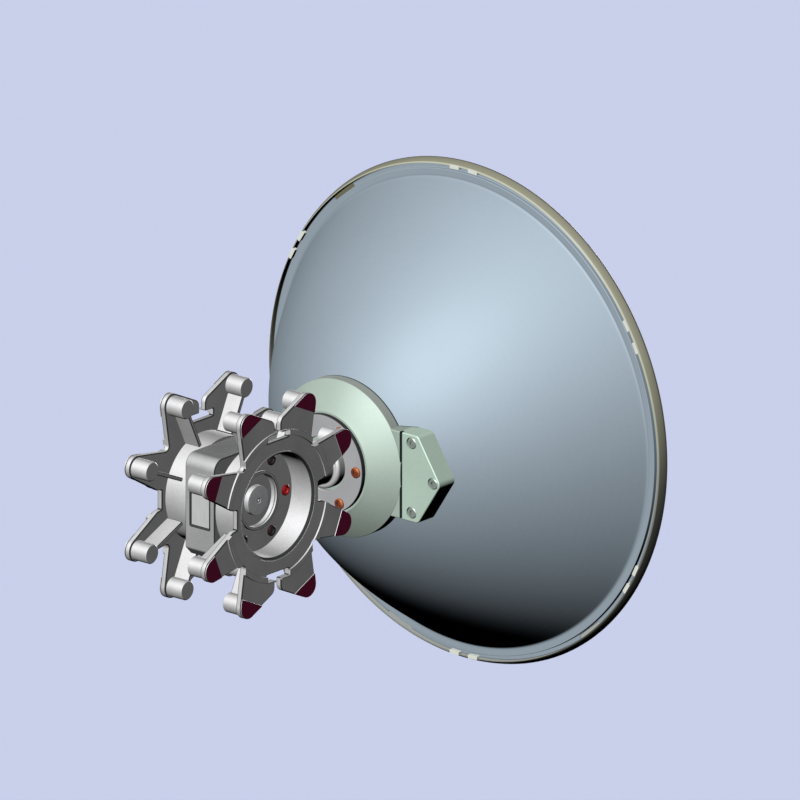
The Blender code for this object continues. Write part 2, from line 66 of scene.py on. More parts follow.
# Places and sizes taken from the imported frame
RIM_LOW, RIM_HIGH = corners("radome")
CUP_LOW, CUP_HIGH = corners("right_port_housing")
HUB_LOW, HUB_HIGH = corners("hub_casting")
LUG_LOW, LUG_HIGH = corners("mounting_lug")
BODY_LOW, BODY_HIGH = corners("coupler_body")
AXIS_X = (RIM_LOW.x + RIM_HIGH.x) / 2
LIP_RADIUS = (RIM_HIGH.x - RIM_LOW.x) / 2
HUB_RADIUS = (HUB_HIGH.x - HUB_LOW.x) / 2
CUP_RADIUS = (CUP_HIGH.z - CUP_LOW.z) / 2
PORT_Y = (CUP_LOW.y + CUP_HIGH.y) / 2
PORT_FACE = CUP_HIGH.x - AXIS_X
BODY_HALF_WIDTH = (BODY_HIGH.x - BODY_LOW.x) / 2
BODY_HALF_LENGTH = (BODY_HIGH.y - BODY_LOW.y) / 2
RIM_BACK_DEPTH = 0.0137
FRONT_Y = RIM_LOW.y + RIM_BACK_DEPTH

# Bowl and flange, as in the frame
BOWL_DEPTH = 0.261
BOWL_RADIUS = 0.302
FLANGE_DEPTH = 0.012
FOUR_FOCAL = BOWL_RADIUS**2 / (BOWL_DEPTH - FLANGE_DEPTH)
SHEET = 0.0025
FLANGE_RADIUS = 0.3125
STEP_DEPTH = 0.0065
STEP_RADIUS = 0.3185
STEP_FRONT = STEP_DEPTH - SHEET
SLOT_FIRST = radians(9.7)

# Cover and clips
COVER_BACK = 0.0135
COVER_WALL = 0.003
COVER_EDGE = 0.0022
ROLL_LEAN = radians(52.0)
ROLL_WIDTH = 0.0148
TAB_FIRST = radians(30.0)
TAB_HALF_SPREAD = radians(2.7)
TAB_RADIUS = 0.3205
TAB_HEIGHT = 0.0052
TAB_CORNER = 0.0012

# Hub and lug
HUB_EDGE_DEPTH = 0.2493
HUB_EDGE = 0.0014
CROWN_SWELL = 0.0045
SEAT_RADIUS = 0.0655
SEAT_DEPTH = 0.2718
LUG_DEPTH = FRONT_Y - LUG_LOW.y
LUG_THICKNESS = 0.029
LUG_SHOULDER = 0.131
LUG_APEX = 0.168
LUG_SCREW_HEIGHT = 0.0045
GROOVE_PLACE = 0.1033
GROOVE_WIDTH = 0.0046
GROOVE_HALF_LENGTH = 0.061

# Feed flange, neck and box
FEED_RADIUS = 0.0635
FEED_BACK = 0.2784
FEED_BORE = 0.035
FEED_BOLT_CIRCLE = 0.054
COLLAR_RADIUS = 0.0310
COLLAR_BACK = 0.2860
NECK_RADIUS = 0.0238
BODY_FRONT_DEPTH = FRONT_Y - BODY_HIGH.y
BOX_CHAMFER = 0.011
PANEL_POCKET = 0.0030

# Ports
BORE_RADIUS = 0.0662
MOUTH_CHAMFER = 0.0028
BORE_DEPTH = 0.035
BORE_FLOOR = PORT_FACE - BORE_DEPTH
POCKET_FLOOR = BORE_FLOOR - 0.0052
RING_INNER = 0.0339
RING_OUTER = 0.0379
RING_HEIGHT = 0.0043
DISC_RADIUS = 0.0191
DISC_RISE = 0.0036
PORT_SCREW_HEIGHT = 0.0030

# Stars
STAR_PLATE = 0.008
STAR_INNER = PORT_FACE - STAR_PLATE
SIDE_TIP = (0.123, 0.054)
TOP_TIP = (0.056, 0.1185)
TIP_RADIUS = 0.0150
ROOT_RADIUS = 0.086
ROOT_HALF_WIDTH = 0.022
NOTCH_ROUNDING = 0.006
SIDE_NOTCH = (0.0765, 0.013)
WEB_LEAN = radians(25.0)
WEB_GAP_HALF = 0.0057
WEB_LOWER_EDGE = 0.0955
WINDOW_HALF_WIDTH = 0.021
WINDOW_FLOOR = 0.086
STAR_LIP_INNER = 0.0906
STAR_LIP_OUTER = 0.0980
STAR_LIP_HEIGHT = 0.0025
PAD_REACH = 0.16
PAD_WIDTH = 0.060
PAD_HEIGHT = 0.0012

SEAT_GAP = 0.0003
SHARP_ANGLE = radians(32.0)
BLUNT_ANGLE = radians(50.0)
CAST_ANGLE = radians(60.0)
CASTING = "coupler_cast_aluminium"

IN_DISH = Matrix.Translation((AXIS_X, FRONT_Y, 0.0)) @ Matrix.Rotation(pi / 2, 4, "X")
PORT_PLACE = Matrix.Translation((AXIS_X, PORT_Y, 0.0))
IN_PORT = {
    "right": PORT_PLACE @ Matrix.Rotation(pi / 2, 4, "Z") @ Matrix.Rotation(pi / 2, 4, "X"),
    "left": PORT_PLACE @ Matrix.Rotation(-pi / 2, 4, "Z") @ Matrix.Rotation(pi / 2, 4, "X"),
}


def number(name, description, default, **limits):
    """A number for the sidebar."""
    return bpy.props.FloatProperty(name=name, description=description, default=default, **limits)


def length(name, description, default):
    """A size in metres for the sidebar."""
    return number(name, description, default, min=0.0, precision=4, unit="LENGTH")


def bearing(name, description, degrees):
    """An angle for the sidebar."""
    return number(name, description, radians(degrees), subtype="ANGLE", unit="ROTATION")


def tint(name, description, default):
    """A colour for the sidebar."""
    return bpy.props.FloatVectorProperty(name=name, description=description, default=default,
                                         subtype="COLOR", size=3, min=0.0, max=1.0)


class DishSizes(bpy.types.PropertyGroup):
    slot_length: length("Slot length", "Length of each slot in the flange's lower step", 0.041)
    slot_floor: length("Slot floor radius", "Radius at which the slots end", 0.3130)
    tab_length: length("Clip length", "Length of each clip along the rim", 0.015)
    tab_reach: length("Clip inner radius", "Radius to which the clips reach over the flange", 0.3154)
    swell: length("Cover swell", "Height of the front cover's dome", 0.030)
    edge_bead: length("Edge rounding", "Rounding between bowl and flange", 0.0016)
    rings: bpy.props.IntProperty(name="Rings", description="Rings of faces on the bowl", default=44,
                                 min=8)
    steps: bpy.props.IntProperty(name="Steps", description="Faces around the rim", default=216, min=48)


class HubSizes(bpy.types.PropertyGroup):
    groove_x: length("Groove place", "Distance of the lug's groove from the dish axis", GROOVE_PLACE)
    groove_width: length("Groove width", "Width of the lug's groove", GROOVE_WIDTH)
    groove_depth: length("Groove depth", "Depth of the lug's groove", 0.0040)
    lug_edge: length("Lug edge", "Rounding along the lug's edges", 0.0022)
    screw_radius: length("Lug screw radius", "Radius of the lug's socket screws", 0.0072)
    recess_radius: length("Recess radius", "Radius of the recesses around them", 0.0080)
    recess_depth: length("Recess depth", "Depth of those recesses", 0.0050)
    bolt_radius: length("Flange bolt radius", "Radius of the feed flange's bolts", 0.0070)
    bolt_height: length("Flange bolt height", "Height of the feed flange's bolts", 0.0030)


class CouplerSizes(bpy.types.PropertyGroup):
    edge: length("Box edge", "Rounding along the coupler box's edges", 0.0013)
    star_edge: length("Star edge", "Rounding along the star flanges' edges", 0.0013)
    pad_start: length("Pad start", "Distance of the pads' straight edges from the port axis", 0.1243)
    boss_radius: length("Boss radius", "Radius of the bosses behind the arm tips", 0.0127)
    boss_length: length("Boss length", "Length of those bosses", 0.024)
    rib: length("Rib thickness", "Thickness of the ribs behind the arms", 0.005)
    rib_depth: length("Rib depth", "Depth of those ribs", 0.0235)
    screw_circle: length("Screw circle", "Radius of the circle of screws in each port", 0.0534)
    screw_radius: length("Port screw radius", "Radius of the screws in each port", 0.0070)
    panel_gap: length("Panel gap", "Width of the dark gap round the coupler's cover panel", 0.0006)


class Finishes(bpy.types.PropertyGroup):
    dish: tint("Dish", "Paint of the reflector", (0.395, 0.478, 0.548))
    cover: tint("Cover", "Plastic of the front cover and its clips", (0.75, 0.78, 0.62))
    hub: tint("Hub", "Enamel of the hub and its lug", (0.56, 0.68, 0.60))
    flange: tint("Feed flange", "Metal of the feed flange", (0.58, 0.585, 0.60))
    bolt: tint("Flange bolts", "Plating of the feed flange's bolts", (0.50, 0.15, 0.05))
    casting: tint("Casting", "Metal of the coupler and its stars", (0.96, 0.96, 0.97))
    box: tint("Box", "Metal of the coupler's box", (0.72, 0.73, 0.725))
    panel: tint("Panel", "Metal of the coupler's cover panel", (0.93, 0.96, 0.95))
    lug: tint("Lug", "Enamel of the lug", (0.66, 0.84, 0.715))
    # Near-black painted shade, laid on rounded edges, the ports' mouths and the panel's pocket.
    edge: tint("Edges", "Dull skin along the casting's edges", (0.030, 0.032, 0.034))
    steel: tint("Lug screws", "Metal of the lug's screws", (0.50, 0.60, 0.54))
    pad: tint("Tip pads", "Paint of the pads on the arm tips", (0.13, 0.004, 0.035))
    screw: tint("Port screws", "Paint of the port screws", (0.33, 0.008, 0.014))
    floor: tint("Floor", "Colour of the floor", (0.692, 0.744, 0.985))


class StageLook(bpy.types.PropertyGroup):
    azimuth: bearing("Camera azimuth", "Camera's angle round the object", 40.96)
    elevation: bearing("Camera elevation", "Camera's height angle", 18.56)
    width: length("View width", "Width that the camera shows", 0.9931)
    floor_drop: length("Floor drop", "Depth of the floor below the object's origin", 1.0)
    key: number("Key light", "Strength of the main light", 4.08, min=0.0)
    fill: number("Front light", "Strength of the light on the front", 2.0, min=0.0)


# Outlines

def around(count, first=0.0):
    return [first + tau * index / count for index in range(count)]


def at_angle(radius, angle, centre=(0.0, 0.0)):
    return (centre[0] + radius * cos(angle), centre[1] + radius * sin(angle))


def circle(radius, steps, centre=(0.0, 0.0)):
    return [at_angle(radius, angle, centre) for angle in around(steps)]


def arc(radius, start, end, steps, centre=(0.0, 0.0)):
    return [at_angle(radius, start + (end - start) * step / steps, centre)
            for step in range(steps + 1)]


def spots(radius, height, angles):
    """Points of one height on a circle."""
    return [(*at_angle(radius, angle), height) for angle in angles]


def filleted(points, steps=6):
    """Round each (x, y, radius) corner of a closed outline with a tangent arc."""
    rounded = []
    for index, (x, y, radius) in enumerate(points):
        if radius == 0.0:
            rounded.append((x, y))
            continue
        corner = Vector((x, y))
        before = (Vector(points[index - 1][:2]) - corner).normalized()
        after = (Vector(points[(index + 1) % len(points)][:2]) - corner).normalized()
        half_angle = acos(max(-1.0, min(1.0, before.dot(after)))) / 2
        centre = corner + (before + after).normalized() * radius / sin(half_angle)
        start = corner + before * radius / tan(half_angle) - centre
        end = corner + after * radius / tan(half_angle) - centre
        sweep = start.angle_signed(end)
        for step in range(steps + 1):
            rounded.append(tuple(centre + Matrix.Rotation(-sweep * step / steps, 2) @ start))
    return rounded


def rectangle(left, right, low, high, radius=0.0):
    return filleted([(left, low, radius), (right, low, radius), (right, high, radius),
                     (left, high, radius)], 4)


def bowl_point(radius, offset=0.0):
    """A point of the bowl's back as (radius, depth), moved out along its normal."""
    slope = 2 * radius / FOUR_FOCAL
    lean = hypot(slope, 1.0)
    return (radius + offset * slope / lean, BOWL_DEPTH - radius**2 / FOUR_FOCAL + offset / lean)


def bowl_line(rings, offset=0.0, reach=BOWL_RADIUS):
    return [bowl_point(reach * ring / rings, offset) for ring in range(rings + 1)]


# Meshes

def loose(name, bm):
    """A mesh object in its own space, with its faces turned outwards."""
    bmesh.ops.recalc_face_normals(bm, faces=bm.faces[:])
    if bm.calc_volume(signed=True) < 0.0:
        bmesh.ops.reverse_faces(bm, faces=bm.faces[:])
    mesh = bpy.data.meshes.new(name)
    bm.to_mesh(mesh)
    bm.free()
    item = bpy.data.objects.new(name, mesh)
    bpy.context.collection.objects.link(item)
    return item


def turned(name, outline, steps, ring=False):
    """Spin an outline of (radius, height) points about Z; a ring's outline closes on itself."""
    bm = bmesh.new()
    rows = []
    for radius, height in outline:
        places = circle(radius, steps) if radius > 1e-9 else [(0.0, 0.0)]
        rows.append([bm.verts.new((*place, height)) for place in places])
    pairs = list(zip(rows, rows[1:])) + ([(rows[-1], rows[0])] if ring else [])
    for lower, upper in pairs:
        for index in range(steps):
            following = (index + 1) % steps
            loop = [lower[index % len(lower)], lower[following % len(lower)],
                    upper[following % len(upper)], upper[index % len(upper)]]
            loop = list(dict.fromkeys(loop))
            if len(loop) > 2:
                bm.faces.new(loop)
    return loose(name, bm)


def prism(bm, outline, low, high):
    """A straight prism between two heights over a flat outline."""
    base = bm.faces.new([bm.verts.new((x, y, low)) for x, y in outline])
    top = bmesh.ops.extrude_face_region(bm, geom=[base])["geom"]
    moved = [part for part in top if isinstance(part, bmesh.types.BMVert)]
    bmesh.ops.translate(bm, vec=(0.0, 0.0, high - low), verts=moved)
    return bm


def slab(name, outline, low, high, place=Matrix.Identity(4)):
    """A prism as an object, moved before its faces are turned outwards."""
    bm = prism(bmesh.new(), outline, low, high)
    bm.transform(place)
    return loose(name, bm)


def block_at(bm, angle, near, far, width, low, high):
    """A straight block that stands across a radius of the Z axis."""
    spin = Matrix.Rotation(angle, 2)
    plan = rectangle(near, far, -width / 2, width / 2)
    return prism(bm, [tuple(spin @ Vector(point)) for point in plan], low, high)


def bowl_solid(name, offset):
    """The space that the bowl fills, to cut the undersides of what sits on it."""
    surface = bowl_line(44, offset)
    return turned(name, surface + [(0.0, surface[-1][1])], 216)


def bake(item):
    """Turn an object's modifiers into its mesh."""
    bpy.context.view_layer.update()
    evaluated = item.evaluated_get(bpy.context.evaluated_depsgraph_get())
    mesh = bpy.data.meshes.new_from_object(evaluated)
    item.modifiers.clear()
    item.data = mesh
    return item


def combine(item, tool, operation="DIFFERENCE"):
    """Cut or join another shape, which is used up."""
    modifier = item.modifiers.new(operation.title(), "BOOLEAN")
    modifier.operation = operation
    modifier.solver = "EXACT"
    modifier.object = tool
    bake(item)
    bpy.data.objects.remove(tool)
    if not any(item.data.materials):
        item.data.materials.clear()
    return item


def round_edges(item, width, finish=None, angle=CAST_ANGLE, segments=2):
    """Round the edges sharper than an angle; a piece given its finish here gets near-black painted
    shade on those rounded edges.
    """
    modifier = item.modifiers.new("Edges", "BEVEL")
    if finish:
        if not item.data.materials:
            item.data.materials.append(finish_of(finish))
        # The bevel's faces get near-black painted shade.
        item.data.materials.append(finish_of("casting_dull_edge"))
        modifier.material = len(item.data.materials) - 1
    modifier.width = width
    modifier.use_clamp_overlap = not finish
    modifier.segments = segments
    modifier.limit_method = "ANGLE"
    modifier.angle_limit = angle
    modifier.miter_outer = "MITER_ARC"
    modifier.harden_normals = False
    return bake(item)


def repaint(item, finishes, choose):
    """Give an object its finishes, and each face the number of the one it wears."""
    item.data.materials.clear()
    for finish in finishes:
        item.data.materials.append(finish_of(finish))
    for face in item.data.polygons:
        face.material_index = int(choose(face))


def settle(item, space, replaced, finish=CASTING, sharp=SHARP_ANGLE):
    """Move a finished mesh to its place, shade it, paint it and tie it to the frame.

    The pieces throw no light on each other, as in the even light of the photograph.
    """
    mesh = item.data
    mesh.transform(space)
    mesh.shade_smooth()
    mesh.set_sharp_from_angle(angle=sharp)
    weighted = item.modifiers.new("Flat faces stay flat", "WEIGHTED_NORMAL")
    weighted.keep_sharp = True
    weighted.weight = 100
    bake(item)
    if not item.data.materials:
        item.data.materials.append(finish_of(finish))
    item.visible_diffuse = False
    item.visible_glossy = False
    for name in replaced:
        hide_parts(name)
    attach(item, "root")


def numbered(stem, first, last):
    return [f"{stem}_{number}" for number in range(first, last + 1)]


# Node trees

def adds(kind, swapped=False):
    """A method that adds one Math node for its own value and any others."""
    def method(self, *others):
        return self.graph.maths(kind, *((*others, self) if swapped else (self, *others)))
    return method


class Value:
    """A socket of a node tree whose operators add Math nodes."""

    def __init__(self, graph, socket):
        self.graph = graph
        self.socket = socket

    __add__ = __radd__ = adds("ADD")
    __sub__, __rsub__ = adds("SUBTRACT"), adds("SUBTRACT", swapped=True)
    __mul__ = __rmul__ = adds("MULTIPLY")
    __truediv__, __pow__, __abs__ = adds("DIVIDE"), adds("POWER"), adds("ABSOLUTE")
    sine, root, most = adds("SINE"), adds("SQRT"), adds("MAXIMUM")
    heading = adds("ARCTAN2")

    def step(self, start, end):
        """0 before start, 1 after end, smooth between; start may be the larger."""
        made = self.graph.node("ShaderNodeMapRange", {"interpolation_type": "SMOOTHSTEP"},
                               Value=self, From_Min=min(start, end), From_Max=max(start, end),
                               To_Min=float(start > end), To_Max=float(start < end))
        return made["Result"]

    def band(self, centre, half_width, blur):
        """1 within a band around a value, with a soft edge."""
        return abs(self - centre).step(half_width + blur, half_width)


class Graph:
    """A node tree, built from expressions."""

    def __init__(self, tree):
        self.tree = tree
        self.nodes = tree.nodes
        self.links = tree.links

    def feed(self, slot, value):
        if isinstance(value, Value):
            self.links.new(value.socket, slot)
        elif slot.type == "RGBA":
            slot.default_value = (*value, 1.0)
        else:
            slot.default_value = value

    def node(self, kind, settings=None, **values):
        """Any node: its settings first, then the values or links of its sockets."""
        made = self.nodes.new(kind)
        for key, value in (settings or {}).items():
            setattr(made, key, value)
        for key, value in values.items():
            label = key.replace("_", " ")
            self.feed(next(slot for slot in made.inputs if slot.enabled and slot.name == label), value)
        return {slot.name: Value(self, slot) for slot in made.outputs if slot.enabled}

    def maths(self, kind, *values):
        made = self.nodes.new("ShaderNodeMath")
        made.operation = kind
        for slot, value in zip(made.inputs, values):
            self.feed(slot, value)
        return Value(self, made.outputs[0])

    def vector(self, x=0.0, y=0.0, z=0.0):
        return self.node("ShaderNodeCombineXYZ", X=x, Y=y, Z=z)["Vector"]

    def split(self, vector):
        made = self.node("ShaderNodeSeparateXYZ", Vector=vector)
        return made["X"], made["Y"], made["Z"]


class Tree(Graph):
    """A Geometry Nodes tree with named inputs."""

    def __init__(self, name, *sizes):
        super().__init__(bpy.data.node_groups.new(name, "GeometryNodeTree"))
        face = self.tree.interface
        kinds = {"Geometry": "Geometry", "Seed": "Int", "Material": "Material"}
        for label in ("Geometry", *sizes, "Material"):
            kind = kinds.get(label, "Float")
            face.new_socket(label, in_out="INPUT", socket_type=f"NodeSocket{kind}")
        face.new_socket("Geometry", in_out="OUTPUT", socket_type="NodeSocketGeometry")
        self.inputs = self.node("NodeGroupInput")

    def join(self, *parts):
        made = self.nodes.new("GeometryNodeJoinGeometry")
        for part in reversed(parts):
            self.feed(made.inputs[0], part)
        return Value(self, made.outputs[0])

    def move(self, shape, x=0.0, z=0.0):
        return self.node("GeometryNodeTransform", Geometry=shape,
                         Translation=self.vector(x=x, z=z))["Geometry"]

    def cylinder(self, sides, radius, depth):
        return self.node("GeometryNodeMeshCylinder", {"fill_type": "NGON"}, Vertices=sides,
                         Radius=radius, Depth=depth)

    def drawn(self, cylinder, end, height, scale):
        """A cylinder with one end drawn out to a chamfer."""
        raised = self.node("GeometryNodeExtrudeMesh", {"mode": "FACES"}, Mesh=cylinder["Mesh"],
                           Selection=cylinder[end], Offset_Scale=height, Individual=False)
        return self.node("GeometryNodeScaleElements", {"domain": "FACE"}, Geometry=raised["Mesh"],
                         Selection=raised["Top"], Scale=scale)["Geometry"]

    def finish(self, shape, turn):
        """The shape on every point of the object's own mesh, turned, made real and painted."""
        placed = self.node("GeometryNodeInstanceOnPoints", Points=self.inputs["Geometry"],
                           Instance=shape, Rotation=turn)["Instances"]
        real = self.node("GeometryNodeRealizeInstances", Geometry=placed)["Geometry"]
        painted = self.node("GeometryNodeSetMaterial", Geometry=real, Material=self.inputs["Material"])
        self.feed(self.nodes.new("NodeGroupOutput").inputs[0], painted["Geometry"])
        return self.tree

    def outwards(self):
        """The rotation that turns X away from the Z axis at each point."""
        x, y, _ = self.split(self.node("GeometryNodeInputPosition")["Position"])
        return self.vector(z=y.heading(x))


def grown(name, tree, points, finish, **sizes):
    """The plain mesh that a tree makes on a set of points."""
    bm = bmesh.new()
    for point in points:
        bm.verts.new(point)
    item = loose(name, bm)
    modifier = item.modifiers.new(tree.name, "NODES")
    modifier.node_group = tree
    sockets = {socket.name: socket.identifier for socket in tree.interface.items_tree
               if socket.in_out == "INPUT"}
    for label, value in {**sizes, "Material": finish_of(finish)}.items():
        modifier[sockets[label.replace("_", " ")]] = value
    return bake(item)


def socket_screw_tree():
    """Round chamfered heads with six-sided sockets, each turned by its own seeded angle."""
    tree = Tree("Socket screws", "Radius", "Height", "Chamfer", "Socket radius", "Socket depth", "Seed")
    size = tree.inputs
    wall = size["Height"] - size["Chamfer"]
    head = tree.drawn(tree.cylinder(40, size["Radius"], wall), "Top", size["Chamfer"],
                      (size["Radius"] - size["Chamfer"]) / size["Radius"])
    socket = tree.cylinder(6, size["Socket radius"], size["Socket depth"] * 2.0)["Mesh"]
    cut = tree.node("GeometryNodeMeshBoolean", {"operation": "DIFFERENCE", "solver": "EXACT"},
                    Mesh_1=tree.move(head, z=wall * 0.5),
                    Mesh_2=tree.move(socket, z=size["Height"]))["Mesh"]
    spin = tree.node("FunctionNodeRandomValue", {"data_type": "FLOAT"}, Min=0.0, Max=pi / 3,
                     Seed=size["Seed"])["Value"]
    return tree.finish(cut, tree.vector(z=spin))


def clip_tab_tree():
    """Flat clips with rounded corners, which point at the axis."""
    tree = Tree("Clip tabs", "Length", "Reach", "Height", "Corner")
    size = tree.inputs
    plan = tree.node("GeometryNodeCurvePrimitiveQuadrilateral", {"mode": "RECTANGLE"},
                     Width=size["Reach"], Height=size["Length"])["Curve"]
    soft = tree.node("GeometryNodeFilletCurve", {"mode": "POLY"}, Curve=plan, Count=4,
                     Radius=size["Corner"])["Curve"]
    flat = tree.node("GeometryNodeFillCurve", Curve=soft)["Mesh"]
    body = tree.node("GeometryNodeExtrudeMesh", {"mode": "FACES"}, Mesh=flat,
                     Offset_Scale=size["Height"], Individual=False)["Mesh"]
    under = tree.node("GeometryNodeFlipFaces", Mesh=flat)["Mesh"]
    closed = tree.node("GeometryNodeMergeByDistance", Geometry=tree.join(body, under),
                       Distance=0.00001)["Geometry"]
    return tree.finish(closed, tree.outwards())


def arm_back_tree():
    """A stepped boss on each arm's tip and the rib that runs from it to the port."""
    tree = Tree("Arm bosses and ribs", "Radius", "Length", "Rib", "Rib depth", "Rib reach")
    size = tree.inputs
    drum = tree.drawn(tree.cylinder(48, size["Radius"], size["Length"]), "Bottom", 0.0012, 0.90)
    boss = tree.move(drum, z=size["Length"] * -0.5)
    plank = tree.node("GeometryNodeMeshCube",
                      Size=tree.vector(size["Rib reach"], size["Rib"], size["Rib depth"]))["Mesh"]
    rib = tree.move(plank, x=size["Rib reach"] * -0.5, z=size["Rib depth"] * -0.5)
    return tree.finish(tree.join(boss, rib), tree.outwards())


# Finishes

class Finish(Graph):
    """One material, built from expressions."""

    def __init__(self, name):
        self.material = bpy.data.materials.new(name)
        self.material.use_nodes = True
        super().__init__(self.material.node_tree)
        self.shader = self.nodes["Principled BSDF"]
        places = self.node("ShaderNodeTexCoord")
        self.place, self.facing = places["Object"], places["Normal"]
        self.x, self.y, self.z = self.split(self.place)

    def noise(self, scale, detail=3.0, place=None, roughness=0.5):
        """Noise around 0, so that it lightens as much as it darkens."""
        return self.node("ShaderNodeTexNoise", Vector=place or self.place, Scale=scale,
                         Detail=detail, Roughness=roughness)["Fac"] - 0.5

    def mix(self, share, first, second):
        return self.node("ShaderNodeMix", {"data_type": "RGBA"}, Factor=share, A=first,
                         B=second)["Result"]

    def shade(self, colour, light):
        """A colour made lighter or darker by a number."""
        return self.node("ShaderNodeVectorMath", {"operation": "SCALE"}, Vector=colour,
                         Scale=light)["Vector"]

    def dress(self, colour, roughness, metallic, height=None, lift=0.0001):
        """Set the shader's sockets, with bump where there is relief."""
        for label, value in (("Base Color", colour), ("Roughness", roughness), ("Metallic", metallic)):
            self.feed(self.shader.inputs[label], value)
        if height is not None:
            bump = self.node("ShaderNodeBump", Strength=1.0, Distance=lift, Height=height)
            self.feed(self.shader.inputs["Normal"], bump["Normal"])
        return self.material


def dish_places(finish):
    """Distance from the dish axis, and depth behind the cover's front edge."""
    radius = ((finish.x - AXIS_X) ** 2 + finish.z ** 2).root()
    return radius, FRONT_Y - finish.y


def dish_paint(finish, looks):
    """Powder coat over spun sheet: faint rings, fine orange peel, darker in a band at the fold between
    bowl and flange, and painted shade in a ring at the step's edge where the cover sits.
    """
    radius = dish_places(finish)[0]
    cloud = finish.noise(7.0, 4.0)
    speck = finish.noise(240.0, 3.0)
    spin = (radius * (tau / 0.0065) + cloud * 2.0).sine()
    # 10% darker in a band at the fold between bowl and flange.
    corner = radius.band(BOWL_RADIUS + 0.0012, 0.0005, 0.0022)
    # Painted shade: 45% darker in a narrow ring at the step's edge, where the cover sits.
    seam_painted_shade = radius.band(STEP_RADIUS, 0.0005, 0.0010)
    light = 1.0 + cloud * 0.06 + speck * 0.04 + spin * 0.003 - corner * 0.10 - seam_painted_shade * 0.45
    peel = speck * 0.5 + spin * 0.05 + cloud * 0.3
    return finish.dress(finish.shade(looks.dish, light), 0.70 + cloud * 0.06 + speck * 0.03, 0.42,
                        peel, 0.00005)


def cover_plastic(finish, looks):
    """Moulded plastic in its own colour on the front, with painted light and shade on the rim: olive
    above and near-black below on its side, lighter on top of the crest, grey below and dark olive above
    on the inner band at the back, near-black along the front edge.
    """
    radius, depth = dish_places(finish)
    cloud = finish.noise(11.0, 4.0)
    grain = finish.noise(700.0, 2.0)
    crest = radius.step(0.3212, 0.3202) * depth.step(0.0105, 0.0118)
    front = depth.step(0.0030, 0.0005)
    inner = depth.step(0.0125, 0.0108) * radius.step(0.3200, 0.3192)
    upper = finish.z.step(-0.05, 0.05)
    # Painted shade on the rim's side: olive above, near-black below.
    wall = finish.mix(finish.z.step(-0.10, 0.15), (0.050, 0.050, 0.046), (0.255, 0.252, 0.185))
    # Painted shade on the inner band at the back: grey below, dark olive above.
    wall = finish.mix(inner, wall, finish.mix(upper, (0.40, 0.42, 0.40), (0.150, 0.150, 0.095)))
    # Painted light on the crest: lighter on its top half.
    lip = finish.mix(finish.z.step(-0.12, 0.12), (0.29, 0.30, 0.26), (0.46, 0.47, 0.36))
    side = finish.mix(front, finish.mix(crest, wall, lip), looks.cover)
    # Painted shade: near-black on the rounding of the front edge.
    corner = radius.step(LIP_RADIUS - 0.0026, LIP_RADIUS - 0.0012) * depth.step(0.0040, 0.0018)
    side = finish.mix(corner, side, (0.040, 0.040, 0.036))
    return finish.dress(finish.shade(side, 1.0 + cloud * 0.10 + grain * 0.05),
                        0.55 + cloud * 0.12 + grain * 0.06, 0.0, grain + cloud * 0.4, 0.00010)


def clip_plastic(finish, looks):
    """The clips' paler plastic."""
    cloud = finish.noise(60.0, 3.0)
    grain = finish.noise(800.0, 2.0)
    colour = finish.shade((0.74, 0.77, 0.70), 1.0 + cloud * 0.12 + grain * 0.05)
    return finish.dress(colour, 0.5 + cloud * 0.15, 0.0, grain, 0.00008)


def hub_enamel(finish, looks):
    """Pale enamel on a casting, with painted shade on up-facing surfaces, on the side wall, in the
    lug's groove and where the hub meets the dish.
    """
    radius, depth = dish_places(finish)
    cloud = finish.noise(16.0, 4.0)
    speck = finish.noise(300.0, 3.0)
    gap = depth - (BOWL_DEPTH - radius ** 2 / FOUR_FOCAL)
    # Painted shade inside the lug's groove.
    groove = (finish.x.band(AXIS_X + GROOVE_PLACE, GROOVE_WIDTH / 2, 0.0001)
              * depth.step(LUG_DEPTH - 0.0004, LUG_DEPTH - 0.0012)
              * depth.step(LUG_DEPTH - 0.0060, LUG_DEPTH - 0.0050))
    # Painted shade where the hub meets the dish, joined with the groove's painted shade.
    joint_and_groove_shade = gap.step(0.0030, 0.0018).most(groove)
    # Painted shade: a greyer band on the hub's side wall.
    wall = radius.band(HUB_RADIUS, 0.0004, 0.0003) * finish.x.step(AXIS_X + 0.1000, AXIS_X + 0.0985)
    x, _, z = finish.split(finish.facing)
    # Painted shade: up-facing surfaces made up to 16% darker.
    hub_top_painted_shade = finish.shade(looks.hub, 1.0 - z.step(0.05, 0.45) * x.step(-0.35, 0.1) * 0.16)
    crown = finish.mix(wall, hub_top_painted_shade, (0.50, 0.55, 0.515))
    coat = finish.mix(finish.x.step(AXIS_X + 0.1005, AXIS_X + 0.1015), crown, looks.lug)
    colour = finish.mix(joint_and_groove_shade, finish.shade(coat, 1.0 + cloud * 0.07 + speck * 0.05),
                        (0.05, 0.075, 0.066))
    return finish.dress(colour, 0.66 + cloud * 0.10 + speck * 0.06, 0.5, speck + cloud * 0.5, 0.00003)


def turned_metal(finish, looks):
    """Faced metal with the fine rings that a lathe leaves, and painted shade on its outer edge."""
    radius = dish_places(finish)[0]
    cloud = finish.noise(24.0, 4.0)
    rings = (radius * (tau / 0.0011) + finish.noise(40.0) * 3.0).sine()
    # Painted shade: the outer edge made 85% darker.
    wall = radius.step(FEED_RADIUS - 0.0011, FEED_RADIUS - 0.0003)
    colour = finish.shade(looks.flange, 1.0 + cloud * 0.12 + rings * 0.035 - wall * 0.85)
    return finish.dress(colour, 0.72 + cloud * 0.16 + rings * 0.05, 0.58, rings + cloud, 0.00005)


